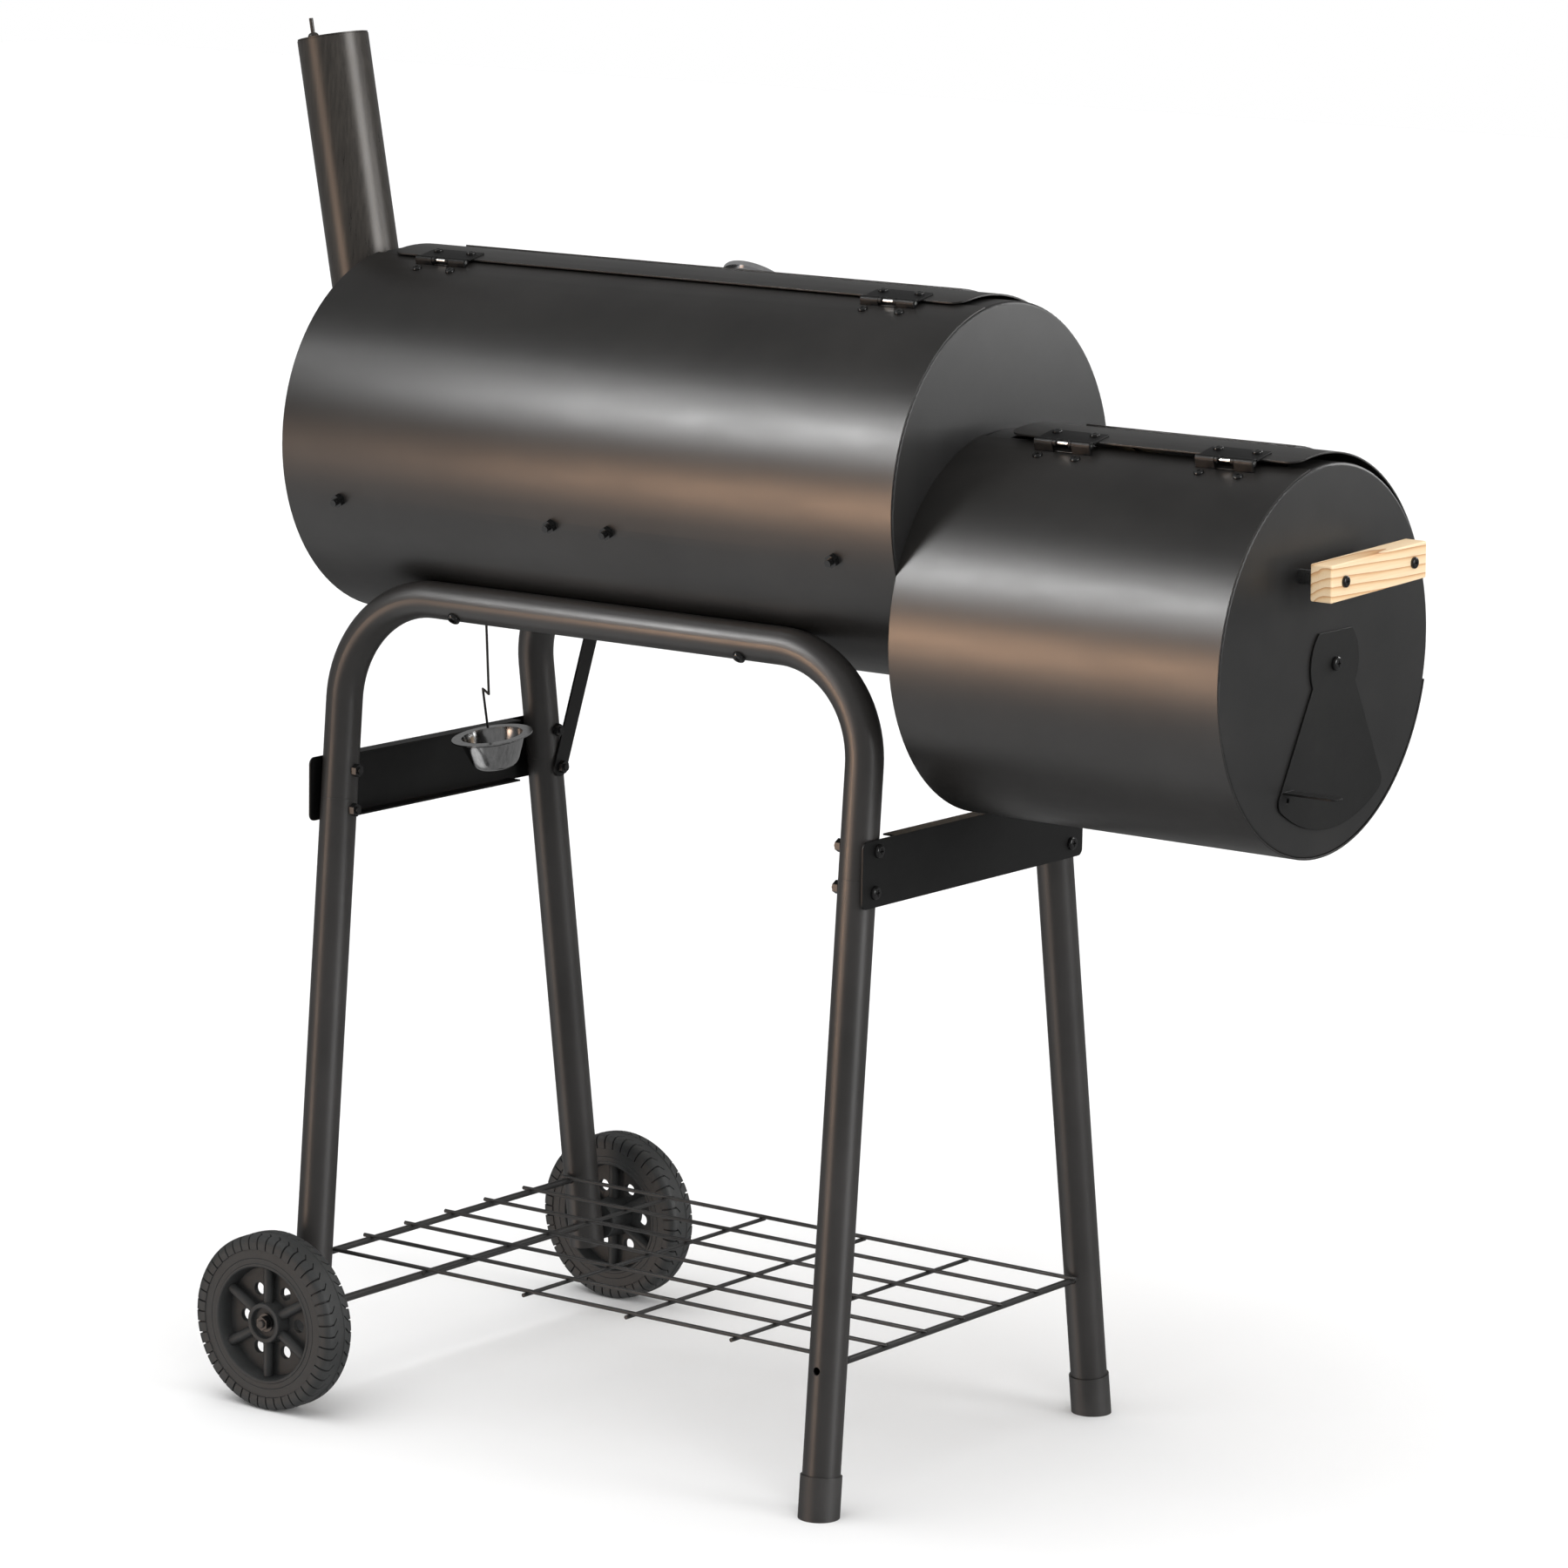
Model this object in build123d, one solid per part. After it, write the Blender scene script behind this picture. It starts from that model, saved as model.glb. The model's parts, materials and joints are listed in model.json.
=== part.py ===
from build123d import *
from math import atan2, cos, degrees, pi, radians, sin, tan
import os

# Offset smoker: a horizontal cooking barrel with a lower firebox bolted to one end, a leaning chimney on the
# other, and a splayed tube stand on two feet and two wheels. Millimetres, +Z up, floor at z = 0.
# While it is drawn, x = 0 is the barrel's firebox end, y = 0 is the barrel's middle plane and +Y is the hinge
# side. At the end everything moves so that the origin is under the middle of the whole smoker.

# ---------------------------------------------------------------- driving dimensions
BARREL_R = 160.0            # outside radius of the cooking barrel
BARREL_L = 644.0            # length of the cooking barrel
BARREL_Z = 830.0            # height of the barrel's axis
FIREBOX_R = 160.0           # outside radius of the firebox
FIREBOX_L = 313.0           # length of the firebox
FIREBOX_DROP = 105.0        # the firebox's axis is this far below the barrel's
SHEET = 1.5                 # sheet steel of barrel, firebox and lids
CAP_DEPTH = 25.0            # flange depth of the pressed end caps
CAP_FILLET = 2.5            # rounded edge of an end cap
SHELL_BACK_DEG = 78.0       # the shells end here on the hinge side, measured up from +Y
SHELL_FRONT_DEG = 192.0     # and here on the front
LID_LAP_DEG = 2.0           # a lid laps over the shell edge by this angle
LID_INSET = 20.0            # main lid stops this far from each end of the barrel
LID_GAP = 1.5               # main lid's inside stands this far off the shell
FIREBOX_LID_GAP = 5.0       # firebox lid's inside stands this far off the shell
FIREBOX_LID_IN = 30.0       # firebox lid stops this far from the barrel
FIREBOX_LID_OUT = 7.0       # and this far from the firebox's outer end
LID_CORNER = 12.0           # rounded corners of the lids
PANEL_RISE = 1.5            # pressed panel in a lid
PANEL_MARGIN = 38.0         # plain border round the pressed panel

HINGE_W = 54.0              # hinge width
HINGE_PIN_R = 1.5           # hinge pin
HINGE_KNUCKLE_R = 3.2       # hinge knuckle
HINGE_LEAF_T = 1.6          # hinge leaf
HINGE_EYE = 3.0             # width of the two eyes that carry the lid on the pin
HINGE_SPACING = 474.0       # between the main lid's two hinges
FIREBOX_HINGE_SPACING = 154.0
HINGE_PIN_DEG = 3.5         # the pin is this far behind the lid's edge
FIT = 0.05                  # radial clearance of a turning fit
HINGE_SCREW_PITCH = 36.5    # between the two screws of a leaf
HINGE_FOOT = 18.0           # the fixed leaf inside the shell reaches this far from the pin
HINGE_FOOT_SCREW = 12.5     # its screws, from the pin
HINGE_RISE = 2.0            # the pin is this far above the lid's inside
HINGE_SLOT_PLAY = 0.4       # round the fixed leaf in its slot
LID_LEAF_DEG = 5.5          # the moving leaf covers the lid up to here, from the lid's edge
LID_SCREW_DEG = 3.0         # and its screws
SCREW_R = 2.0
SCREW_HEAD_R = 4.2
SCREW_HEAD_T = 2.2
BOLT_R = 3.0                # M6 bolts
BOLT_HEAD_R = 5.8
BOLT_HEAD_T = 3.4
BOLT_PLAY = 0.3             # radial play of a bolt or screw in its hole
NUT_T = 5.0
NUT_FLATS = 10.0
SEAT_GAP = 0.16             # a flat nut or head on the inside of a curved sheet touches at its corners

TUBE_R = 16.0               # stand tube outside radius
TUBE_WALL = 1.5
SADDLE_DEG = 46.0           # the stand tubes touch the barrel this far below its middle
SPLAY_DEG = 6.5             # the legs spread front to back
LEAN_DEG = 1.8              # all legs lean towards the firebox going down
STAND_X0 = 43.5             # leg centre line at the firebox side, at the top tube's height
STAND_X1 = 598.0            # leg centre line at the chimney side
BEND_R = 92.0               # bend of the inverted U tubes
JOINT_Z = 523.0             # upper and lower leg tubes meet here
JOINT_GROOVE = 0.7          # the seam between them
SPIGOT_L = 44.0             # reduced end of a lower leg inside the upper tube
SADDLE_PITCH = 304.0        # between the two screws that hold a tube to the barrel
PANEL_BOLT_Z = (514.5, 548.5)
PANEL_Z0 = 502.0            # cross panels
PANEL_Z1 = 558.0
PANEL_FLANGE = 12.0
FOOT_CAP_R = 17.5
FOOT_CAP_H = 35.0

WHEEL_R = 77.5
WHEEL_W = 33.0
WHEEL_Y = 243.0             # middle of a wheel
RIM_R = 50.0                # inside radius of the tyre's side wall
HUB_R = 17.5
HUB_RECESS = 7.0            # the axle nut sits in this recess
SPOKES = 6
AXLE_R = 3.5
AXLE_NUT_T = 5.0
WASHER_T = 1.5
WASHER_R = 8.0

SHELF_Z = 123.5             # wire shelf: middle of the lower wires
SHELF_WIRE_R = 1.8
SHELF_EDGE_R = 3.0
SHELF_PITCH = 56.0          # between the long wires
SHELF_LONG = 7
SHELF_CROSS = 6             # cross wires; the two at the ends plug into the legs

CHIMNEY_R = 31.5
CHIMNEY_WALL = 1.5
CHIMNEY_LEAN = 11.0
CHIMNEY_TOP_X = 81.5        # middle of the chimney's top, outward from the barrel's end
CHIMNEY_TOP_Z = 1168.0
ELBOW_R = 36.0              # centre line of the elbow
ELBOW_STUB = 3.0
CHIMNEY_PLATE = 84.0
CHIMNEY_PLATE_T = 2.0
CHIMNEY_BOLT_PITCH = 68.0
FLAP_T = 1.2
FLAP_PIN_R = 1.8
FLAP_PIN_OUT = 22.0         # pin from the pipe's middle
FLAP_KNOB_R = 5.0
FLAP_LIFT = 0.3
LUG_R = 5.0                 # lug inside the pipe for the flap's pin
LUG_H = 8.0

PASSAGE_R = 65.0            # hole between barrel and firebox
JOIN_BOLT = 59.0            # its four bolts, half pitch
RAIL_DROP = 44.6            # grate rails' bolts below the barrel's axis
RAIL_BOLT_IN = 60.0         # first rail bolt from a barrel end
RAIL_PITCH = 232.0
RAIL_T = 2.0
RAIL_SHELF = 14.0
RAIL_BOLT_L = 13.0          # long enough to show past the nuts outside
GRATE_WIRE_R = 2.5
GRATE_BAR_R = 3.0
GRATE_PITCH = 18.0
GRATE_OVER = 4.5            # bars pass the outermost wires by this much
GRATE_GAP = 6.0             # between the two grates
FIRE_GRATE_DROP = 62.0      # fire grate below the firebox's axis
FIRE_GRATE_FOOT_Y = 100.0
FIRE_GRATE_BARS = 15

HANDLE_BAR = (145.0, 20.0, 30.0)     # length, depth, height of a wooden bar
LID_BAR_L = 240.0
HANDLE_PITCH = 105.0
HANDLE_OFF = 21.0           # length of a handle's steel spacers
SLEEVE_R = 6.0
HANDLE_SCREW_R = 2.5
HANDLE_HEAD_R = 4.8
HANDLE_HEAD_T = 2.6
HANDLE_NUT_FLATS = 8.0
HANDLE_DEG = 172.0          # where the lid handles sit round the barrels
MAIN_HANDLE_PITCH = LID_BAR_L - 40
END_HANDLE_Y = -10.0
END_HANDLE_TILT = 2.1       # the end handle leans up towards the front, degrees
END_HANDLE_UP = 74.5        # end handle above the firebox's axis

VENT_Y = -12.0              # pivot of the air vent plate
VENT_UP = -3.0
VENT_HEAD_R = 36.5
VENT_FLAT_UP = 26.5
VENT_TAIL_R = 134.0
VENT_HALF_DEG = 28.7
VENT_SIDE_OFF = 20.0
VENT_T = 1.5
VENT_TAB = 50.0             # finger tab: length, width and place from the pivot
VENT_TAB_W = 15.0
VENT_TAB_OUT = 58.0
VENT_TAB_DOWN = 96.0
VENT_STOP_R = 2.2           # small hole under the tab
VENT_PLAY = 0.3
VENT_HOLE_R = 15.0
VENT_HOLE_OUT = 98.0
VENT_HOLE_STEP = 19.0       # degrees between the three draught holes

CUP_R = 36.0                # grease cup lip
CUP_MOUTH_R = 28.5
CUP_FLOOR_R = 15.0
CUP_H = 29.0
CUP_T = 1.2
CUP_X = 538.0
CUP_RIM_Z = 566.0
CUP_TILT = (-8.5, 4.0)      # it hangs a little askew, degrees about X and Y
CUP_RING_DEG = -45.0        # where its wire ring turns up
CUP_RING_OUT = 40.0
KINK_Z = 606.0              # a kink in the hanging wire
KINK = 4.0
HOOK_R = 1.1                # hook wire
HOOK_X = 546.0
HOOK_HOLE_R = 4.0

THERMO_X = 330.0
THERMO_DEG = 125.0          # where the thermometer sits round the barrel
THERMO_R = 32.0
THERMO_H = 14.0
THERMO_STEM_R = 3.5
THERMO_STEM_L = 62.0
THERMO_WALL = 1.2
THERMO_CASE_R = THERMO_R - 3.0
DIAL_T = 1.0
GLASS_T = 1.6

SIDE_SHELF_Z = 720.0        # front shelf: top of its brackets
SIDE_SHELF_Y = -196.0       # its edge nearest the barrel
SLAT_W = 58.0
SLAT_T = 16.0
SLAT_GAP = 8.0
SLAT_COUNT = 3
SLAT_OVER = 30.0            # slats pass the brackets by this much
BRACKET_W = 20.0
BRACKET_T = 2.0
BRACE_W = 18.0
BRACE_DEG = 20.4            # the braces lean out from the legs
TAB_BOLT = 14.0             # bolt in a bracket's foot, from its leg

# ---------------------------------------------------------------- worked-out positions
FIREBOX_Z = BARREL_Z - FIREBOX_DROP
LID_R = BARREL_R + LID_GAP                 # inside radius of the main lid
FIREBOX_LID_R = FIREBOX_R + FIREBOX_LID_GAP
LID_BACK_DEG = SHELL_BACK_DEG - LID_LAP_DEG
LID_FRONT_DEG = SHELL_FRONT_DEG + LID_LAP_DEG
PIN_DEG = LID_BACK_DEG - HINGE_PIN_DEG
SADDLE_D = BARREL_R + TUBE_R
TOP_Y = SADDLE_D * cos(radians(SADDLE_DEG))
TOP_Z = BARREL_Z - SADDLE_D * sin(radians(SADDLE_DEG))
AXLE_Z = WHEEL_R
MID_X = BARREL_L / 2
STAND_MID = (STAND_X0 + STAND_X1) / 2

nodes = {}


def leg_x(top_x, z):
    """X of a leg's centre line at height z."""
    return top_x - (TOP_Z - z) * tan(radians(LEAN_DEG))


def leg_y(z):
    """Distance of a leg's centre line from the middle plane at height z."""
    return TOP_Y + (TOP_Z - z) * tan(radians(SPLAY_DEG))


def on_leg(top_x, side, z):
    return (leg_x(top_x, z), side * leg_y(z), z)


AXLE_X = leg_x(STAND_X1, AXLE_Z)


# ---------------------------------------------------------------- shapes used again and again
def rod(start, end, radius):
    """A round bar from one point to another."""
    run = Vector(*end) - Vector(*start)
    plane = Plane(origin=start, z_dir=run)
    return plane * Cylinder(radius, run.length, align=(Align.CENTER, Align.CENTER, Align.MIN))


def tube(start, end, radius, wall):
    """A round tube from one point to another."""
    run = (Vector(*end) - Vector(*start)).normalized()
    inner = rod(Vector(*start) - run, Vector(*end) + run, radius - wall)
    return rod(start, end, radius) - inner


def box(x, y, z):
    """A box from three (low, high) pairs."""
    size = (x[1] - x[0], y[1] - y[0], z[1] - z[0])
    return Pos(x[0], y[0], z[0]) * Box(*size, align=(Align.MIN, Align.MIN, Align.MIN))


def around(x, r, deg, axis_z):
    """The point at radius r and angle deg round an axis along X at height axis_z."""
    return (x, r * cos(radians(deg)), axis_z + r * sin(radians(deg)))


def radial(x, deg, axis_z, r0, r1, radius):
    """A round bar pointing away from an axis along X."""
    return rod(around(x, r0, deg, axis_z), around(x, r1, deg, axis_z), radius)


def band(x0, x1, r0, r1, deg0, deg1, axis_z):
    """A curved strip of sheet round an axis along X."""
    span = deg1 - deg0
    inner = CenterArc((0, 0), r0, deg0, span)
    outer = CenterArc((0, 0), r1, deg0, span)
    face = make_face([inner, Line(inner @ 1, outer @ 1), outer, Line(outer @ 0, inner @ 0)])
    plane = Plane(origin=(x0, 0, axis_z), x_dir=(0, 1, 0), z_dir=(1, 0, 0))
    return extrude(plane * face, amount=x1 - x0)


def hex_nut(base, direction, bore, flats=NUT_FLATS, height=NUT_T):
    """A hexagon nut standing on base, pointing along direction."""
    plane = Plane(origin=base, z_dir=direction)
    blank = RegularPolygon(flats / 2, 6, major_radius=False) - Circle(bore)
    return extrude(plane * blank, amount=height)


def pan_screw(seat, direction, shank, length, head, thick):
    """A pan head screw: the head stands on seat along direction and the shank goes the other way."""
    way = Vector(*direction).normalized()
    base = Vector(*seat)
    crown = Plane(origin=seat, z_dir=way) * Cylinder(
        head, thick, align=(Align.CENTER, Align.CENTER, Align.MIN))
    rim = crown.edges().group_by(lambda e: (e.center() - base).dot(way))[-1]
    crown = fillet(rim, thick * 0.6)
    slot_plane = Plane(origin=base + way * thick, z_dir=way)
    slot = Rectangle(head * 0.9, head * 0.2) + Rectangle(head * 0.2, head * 0.9)
    crown -= extrude(slot_plane * slot, amount=-thick * 0.5)
    return crown + rod(base, base - way * length, shank)


def joined(solids):
    """One node of separate solids."""
    return Compound([piece for item in solids for piece in item.solids()])


# ---------------------------------------------------------------- barrel and firebox
def end_cap(x, outward, shell_r, axis_z):
    """A pressed end cap: a disc with a flange that sits inside the shell."""
    r = shell_r - SHEET
    plane = Plane(origin=(x, 0, axis_z), z_dir=(-outward, 0, 0))
    low = (Align.CENTER, Align.CENTER, Align.MIN)
    blank = plane * Cylinder(r, CAP_DEPTH, align=low)
    rim = blank.edges().sort_by(Axis.X)[-1 if outward > 0 else 0]
    blank = fillet(rim, CAP_FILLET)
    hollow = plane.offset(SHEET) * Cylinder(r - SHEET, CAP_DEPTH, align=low)
    return blank - hollow


def shell(x0, x1, shell_r, axis_z):
    """The fixed part of a barrel, open at the top front under the lid."""
    return band(x0, x1, shell_r - SHEET, shell_r, SHELL_FRONT_DEG - 360, SHELL_BACK_DEG, axis_z)


def lid_sheet(x0, x1, inside_r, axis_z):
    """A curved lid with a pressed panel and rounded corners."""
    r0, r1 = inside_r, inside_r + SHEET
    sheet = band(x0, x1, r0, r1, LID_BACK_DEG, LID_FRONT_DEG, axis_z)
    corners = [e for e in sheet.edges() if abs(e.length - SHEET) < 0.01]
    sheet = fillet(corners, LID_CORNER)
    margin = degrees(PANEL_MARGIN / r1)
    px0, px1 = x0 + PANEL_MARGIN, x1 - PANEL_MARGIN
    pd0, pd1 = 96.0, LID_FRONT_DEG - margin
    skin = degrees(SHEET / r1)
    sheet += band(px0, px1, r1 - 0.2, r1 + PANEL_RISE, pd0, pd1, axis_z)
    sheet -= band(px0 + SHEET, px1 - SHEET, r0 - 1, r1 + PANEL_RISE - SHEET, pd0 + skin, pd1 - skin, axis_z)
    return sheet


PASSAGE_Z = BARREL_Z - FIREBOX_DROP / 2
join_points = [(y, PASSAGE_Z + z) for y in (-JOIN_BOLT, JOIN_BOLT) for z in (-JOIN_BOLT, JOIN_BOLT)]

# Chimney axis: from the middle of its top, leaning in as it goes down to the end of the elbow.
lean = radians(CHIMNEY_LEAN)
chimney_top = (BARREL_L + CHIMNEY_TOP_X, 0, CHIMNEY_TOP_Z)
elbow_x = BARREL_L + CHIMNEY_PLATE_T + ELBOW_STUB
elbow_end_x = elbow_x + ELBOW_R * cos(lean)
elbow_end_z = CHIMNEY_TOP_Z - (chimney_top[0] - elbow_end_x) / tan(lean)
elbow_z = elbow_end_z - ELBOW_R * (1 - sin(lean))
chimney_bolts = [(y, elbow_z + z) for y in (-CHIMNEY_BOLT_PITCH / 2, CHIMNEY_BOLT_PITCH / 2)
                 for z in (-CHIMNEY_BOLT_PITCH / 2, CHIMNEY_BOLT_PITCH / 2)]

# Rail bolts: four on each side of the barrel, just below its middle.
rail_deg = degrees(atan2(-RAIL_DROP, (BARREL_R ** 2 - RAIL_DROP ** 2) ** 0.5))
rail_starts = (RAIL_BOLT_IN, BARREL_L - RAIL_BOLT_IN - RAIL_PITCH)
rail_bolts = [(x + dx, deg) for x in rail_starts for dx in (0, RAIL_PITCH) for deg in (rail_deg, 180 - rail_deg)]

# Saddle screws: through the stand tubes into the barrel, two on each side.
saddle_bolts = [(STAND_MID + dx, deg) for dx in (-SADDLE_PITCH / 2, SADDLE_PITCH / 2)
                for deg in (-SADDLE_DEG, 180 + SADDLE_DEG)]

# Hinges: barrel ones and firebox ones share one shape. Each is (x, gap of the lid, axis height).
firebox_lid_x = (-FIREBOX_L + FIREBOX_LID_OUT, -FIREBOX_LID_IN)
firebox_hinge_mid = sum(firebox_lid_x) / 2
main_hinges = [(MID_X + s * HINGE_SPACING / 2, BARREL_R, LID_GAP, BARREL_Z) for s in (-1, 1)]
firebox_hinges = [(firebox_hinge_mid + s * FIREBOX_HINGE_SPACING / 2, FIREBOX_R, FIREBOX_LID_GAP, FIREBOX_Z)
                  for s in (-1, 1)]


def pin_radius(r, gap):
    """Distance of a hinge pin from the barrel's axis."""
    return r + gap + HINGE_RISE


def knuckle_zone(x, which):
    """X range of the left (-1), middle (0) or right (1) knuckle of a hinge."""
    third = HINGE_W / 3
    return (x + (which - 0.5) * third + 0.15, x + (which + 0.5) * third - 0.15)


def knuckle(x, which, r, gap, axis_z, bore):
    x0, x1 = knuckle_zone(x, which)
    pr = pin_radius(r, gap)
    barrel = rod(around(x0, pr, PIN_DEG, axis_z), around(x1, pr, PIN_DEG, axis_z), HINGE_KNUCKLE_R)
    return barrel - rod(around(x0 - 1, pr, PIN_DEG, axis_z), around(x1 + 1, pr, PIN_DEG, axis_z), bore)


def hinge_screw_spots(x, r, gap, moving):
    """Angle, seat radius and X of the two screws of a leaf."""
    deg = LID_BACK_DEG + LID_SCREW_DEG if moving else PIN_DEG - degrees(HINGE_FOOT_SCREW / r)
    seat = r + gap + SHEET + HINGE_LEAF_T if moving else r
    return [(x + s * HINGE_SCREW_PITCH / 2, deg, seat) for s in (-1, 1)]


def drill_screws(solid, hinges, moving):
    """Holes for the hinge screws of one side."""
    for x, r, gap, axis_z in hinges:
        for sx, deg, seat in hinge_screw_spots(x, r, gap, moving):
            solid -= radial(sx, deg, axis_z, seat - 12, seat + 12, SCREW_R + BOLT_PLAY)
    return solid


def fixed_leaf(x, r, gap, axis_z):
    """Leaf that is screwed inside the shell, with two risers through a slot and the two outer knuckles."""
    pr = pin_radius(r, gap)
    foot = degrees(HINGE_FOOT / r)
    thick = degrees(HINGE_LEAF_T / r)
    r0 = r - SHEET - HINGE_LEAF_T
    leaf = band(x - HINGE_W / 2, x + HINGE_W / 2, r0, r - SHEET, PIN_DEG - foot, PIN_DEG - thick, axis_z)
    for which in (-1, 1):
        x0, x1 = knuckle_zone(x, which)
        riser = band(x0, x1, r0, pr, PIN_DEG - thick * 2, PIN_DEG - thick, axis_z)
        pin_space = rod(around(x0 - 1, pr, PIN_DEG, axis_z), around(x1 + 1, pr, PIN_DEG, axis_z), HINGE_PIN_R)
        leaf += riser - pin_space
        leaf += knuckle(x, which, r, gap, axis_z, HINGE_PIN_R)
    return leaf


def cut_hinge_slots(body, hinges):
    """The slots in a shell that the fixed leaves come out of."""
    for x, r, gap, axis_z in hinges:
        play = degrees(HINGE_SLOT_PLAY / r)
        thick = degrees(HINGE_LEAF_T / r)
        x0, x1 = x - HINGE_W / 2 - HINGE_SLOT_PLAY, x + HINGE_W / 2 + HINGE_SLOT_PLAY
        body -= band(x0, x1, r - SHEET - 1, r + 1, PIN_DEG - thick * 2 - play, PIN_DEG - thick + play, axis_z)
    return body


def moving_leaf(x, r, gap, axis_z):
    """Leaf that is screwed to the lid, with two narrow eyes round the middle of the pin."""
    pr = pin_radius(r, gap)
    r0 = r + gap + SHEET
    clear = degrees((HINGE_KNUCKLE_R + 1.2) / pr)
    far = LID_BACK_DEG + LID_LEAF_DEG
    leaf = band(x - HINGE_W / 2, x + HINGE_W / 2, r0, r0 + HINGE_LEAF_T, PIN_DEG + clear, far, axis_z)
    x0, x1 = knuckle_zone(x, 0)
    tongue = band(x0, x1, r0, r0 + HINGE_LEAF_T, PIN_DEG, PIN_DEG + clear + 0.5, axis_z)
    bore = HINGE_PIN_R + FIT
    tongue -= rod(around(x0 - 1, pr, PIN_DEG, axis_z), around(x1 + 1, pr, PIN_DEG, axis_z), bore)
    eyes = tongue + knuckle(x, 0, r, gap, axis_z, bore)
    half = HINGE_KNUCKLE_R + 1
    low, high = PIN_DEG - degrees(half / pr), PIN_DEG + clear * 0.9
    return leaf + (eyes - band(x0 + HINGE_EYE, x1 - HINGE_EYE, pr - half, pr + half, low, high, axis_z))


def hinge_pin(x, r, gap, axis_z):
    pr = pin_radius(r, gap)
    half = HINGE_W / 2
    return rod(around(x - half, pr, PIN_DEG, axis_z), around(x + half, pr, PIN_DEG, axis_z), HINGE_PIN_R)


def hinge_screws(hinges, moving):
    screws = []
    for x, r, gap, axis_z in hinges:
        depth = HINGE_LEAF_T + SHEET + (0.9 if moving else 3.0)
        for sx, deg, seat in hinge_screw_spots(x, r, gap, moving):
            outward = (0, cos(radians(deg)), sin(radians(deg)))
            spot = around(sx, seat, deg, axis_z)
            screws.append(pan_screw(spot, outward, SCREW_R, depth, SCREW_HEAD_R, SCREW_HEAD_T))
    return screws


# ---------------------------------------------------------------- handles
def handle_feet(seat, along, pitch):
    """The two points of a surface that a handle stands on."""
    return [Vector(*seat) + Vector(*along) * (s * pitch / 2) for s in (-1, 1)]


def wooden_handle(seat, along, out, bar_length, pitch):
    """A wooden bar on two steel sleeves, held by two long screws. Returns bar, sleeves, fasteners."""
    depth, height = HANDLE_BAR[1], HANDLE_BAR[2]
    way = Vector(*out).normalized()
    plane = Plane(origin=Vector(*seat) + way * HANDLE_OFF, x_dir=along, z_dir=way)
    bar = plane * Box(bar_length, height, depth, align=(Align.CENTER, Align.CENTER, Align.MIN))
    bar = fillet(bar.edges(), 1.6)
    sleeves, screws = [], []
    for foot in handle_feet(seat, along, pitch):
        hole = rod(foot - way * 5, foot + way * (HANDLE_OFF + depth + 5), HANDLE_SCREW_R + BOLT_PLAY)
        bar -= hole
        sleeves.append(rod(foot, foot + way * HANDLE_OFF, SLEEVE_R) - hole)
        face = foot + way * (HANDLE_OFF + depth)
        length = HANDLE_OFF + depth + SHEET + 6
        screws.append(pan_screw(face, way, HANDLE_SCREW_R, length, HANDLE_HEAD_R, HANDLE_HEAD_T))
        screws.append(hex_nut(foot - way * (SHEET + SEAT_GAP), way * -1, HANDLE_SCREW_R, HANDLE_NUT_FLATS, 4.0))
    return bar, sleeves, screws


def handle_holes(seat, along, out, pitch):
    way = Vector(*out).normalized()
    return [rod(foot - way * 12, foot + way * 12, HANDLE_SCREW_R + BOLT_PLAY)
            for foot in handle_feet(seat, along, pitch)]


lid_out = (0, cos(radians(HANDLE_DEG)), sin(radians(HANDLE_DEG)))
main_handle_seat = around(MID_X, LID_R + SHEET + PANEL_RISE, HANDLE_DEG, BARREL_Z)
firebox_handle_seat = around(firebox_hinge_mid, FIREBOX_LID_R + SHEET + PANEL_RISE, HANDLE_DEG, FIREBOX_Z)
end_handle_seat = (-FIREBOX_L, END_HANDLE_Y, FIREBOX_Z + END_HANDLE_UP)
main_handle = (main_handle_seat, (1, 0, 0), lid_out, LID_BAR_L, MAIN_HANDLE_PITCH)
firebox_handle = (firebox_handle_seat, (1, 0, 0), lid_out, HANDLE_BAR[0], HANDLE_PITCH)
end_along = (0, cos(radians(END_HANDLE_TILT)), -sin(radians(END_HANDLE_TILT)))
end_handle = (end_handle_seat, end_along, (-1, 0, 0), HANDLE_BAR[0], HANDLE_PITCH)


# ---------------------------------------------------------------- barrel
vent_pivot = (-FIREBOX_L, VENT_Y, FIREBOX_Z + VENT_UP)
brace_low = PANEL_BOLT_Z[0] - BRACE_W / 2
bracket_x = (leg_x(STAND_X0, PANEL_Z1) + TUBE_R + 0.1, leg_x(STAND_X1, brace_low) - TUBE_R - 0.1)
bracket_side = (1, -1)                         # each brace stands on the inner side of its leg
bracket_mid = SIDE_SHELF_Z - BRACKET_W / 2
brace_rise = bracket_mid - PANEL_BOLT_Z[0]
brace_top = (-leg_y(PANEL_BOLT_Z[0]) - brace_rise * tan(radians(BRACE_DEG)), bracket_mid)
tab_drop = BARREL_Z - bracket_mid
tab_deg = 180 + degrees(atan2(tab_drop, (BARREL_R ** 2 - tab_drop ** 2) ** 0.5))
shelf_bolts = [(x + s * TAB_BOLT, tab_deg) for x, s in zip(bracket_x, bracket_side)]


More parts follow.
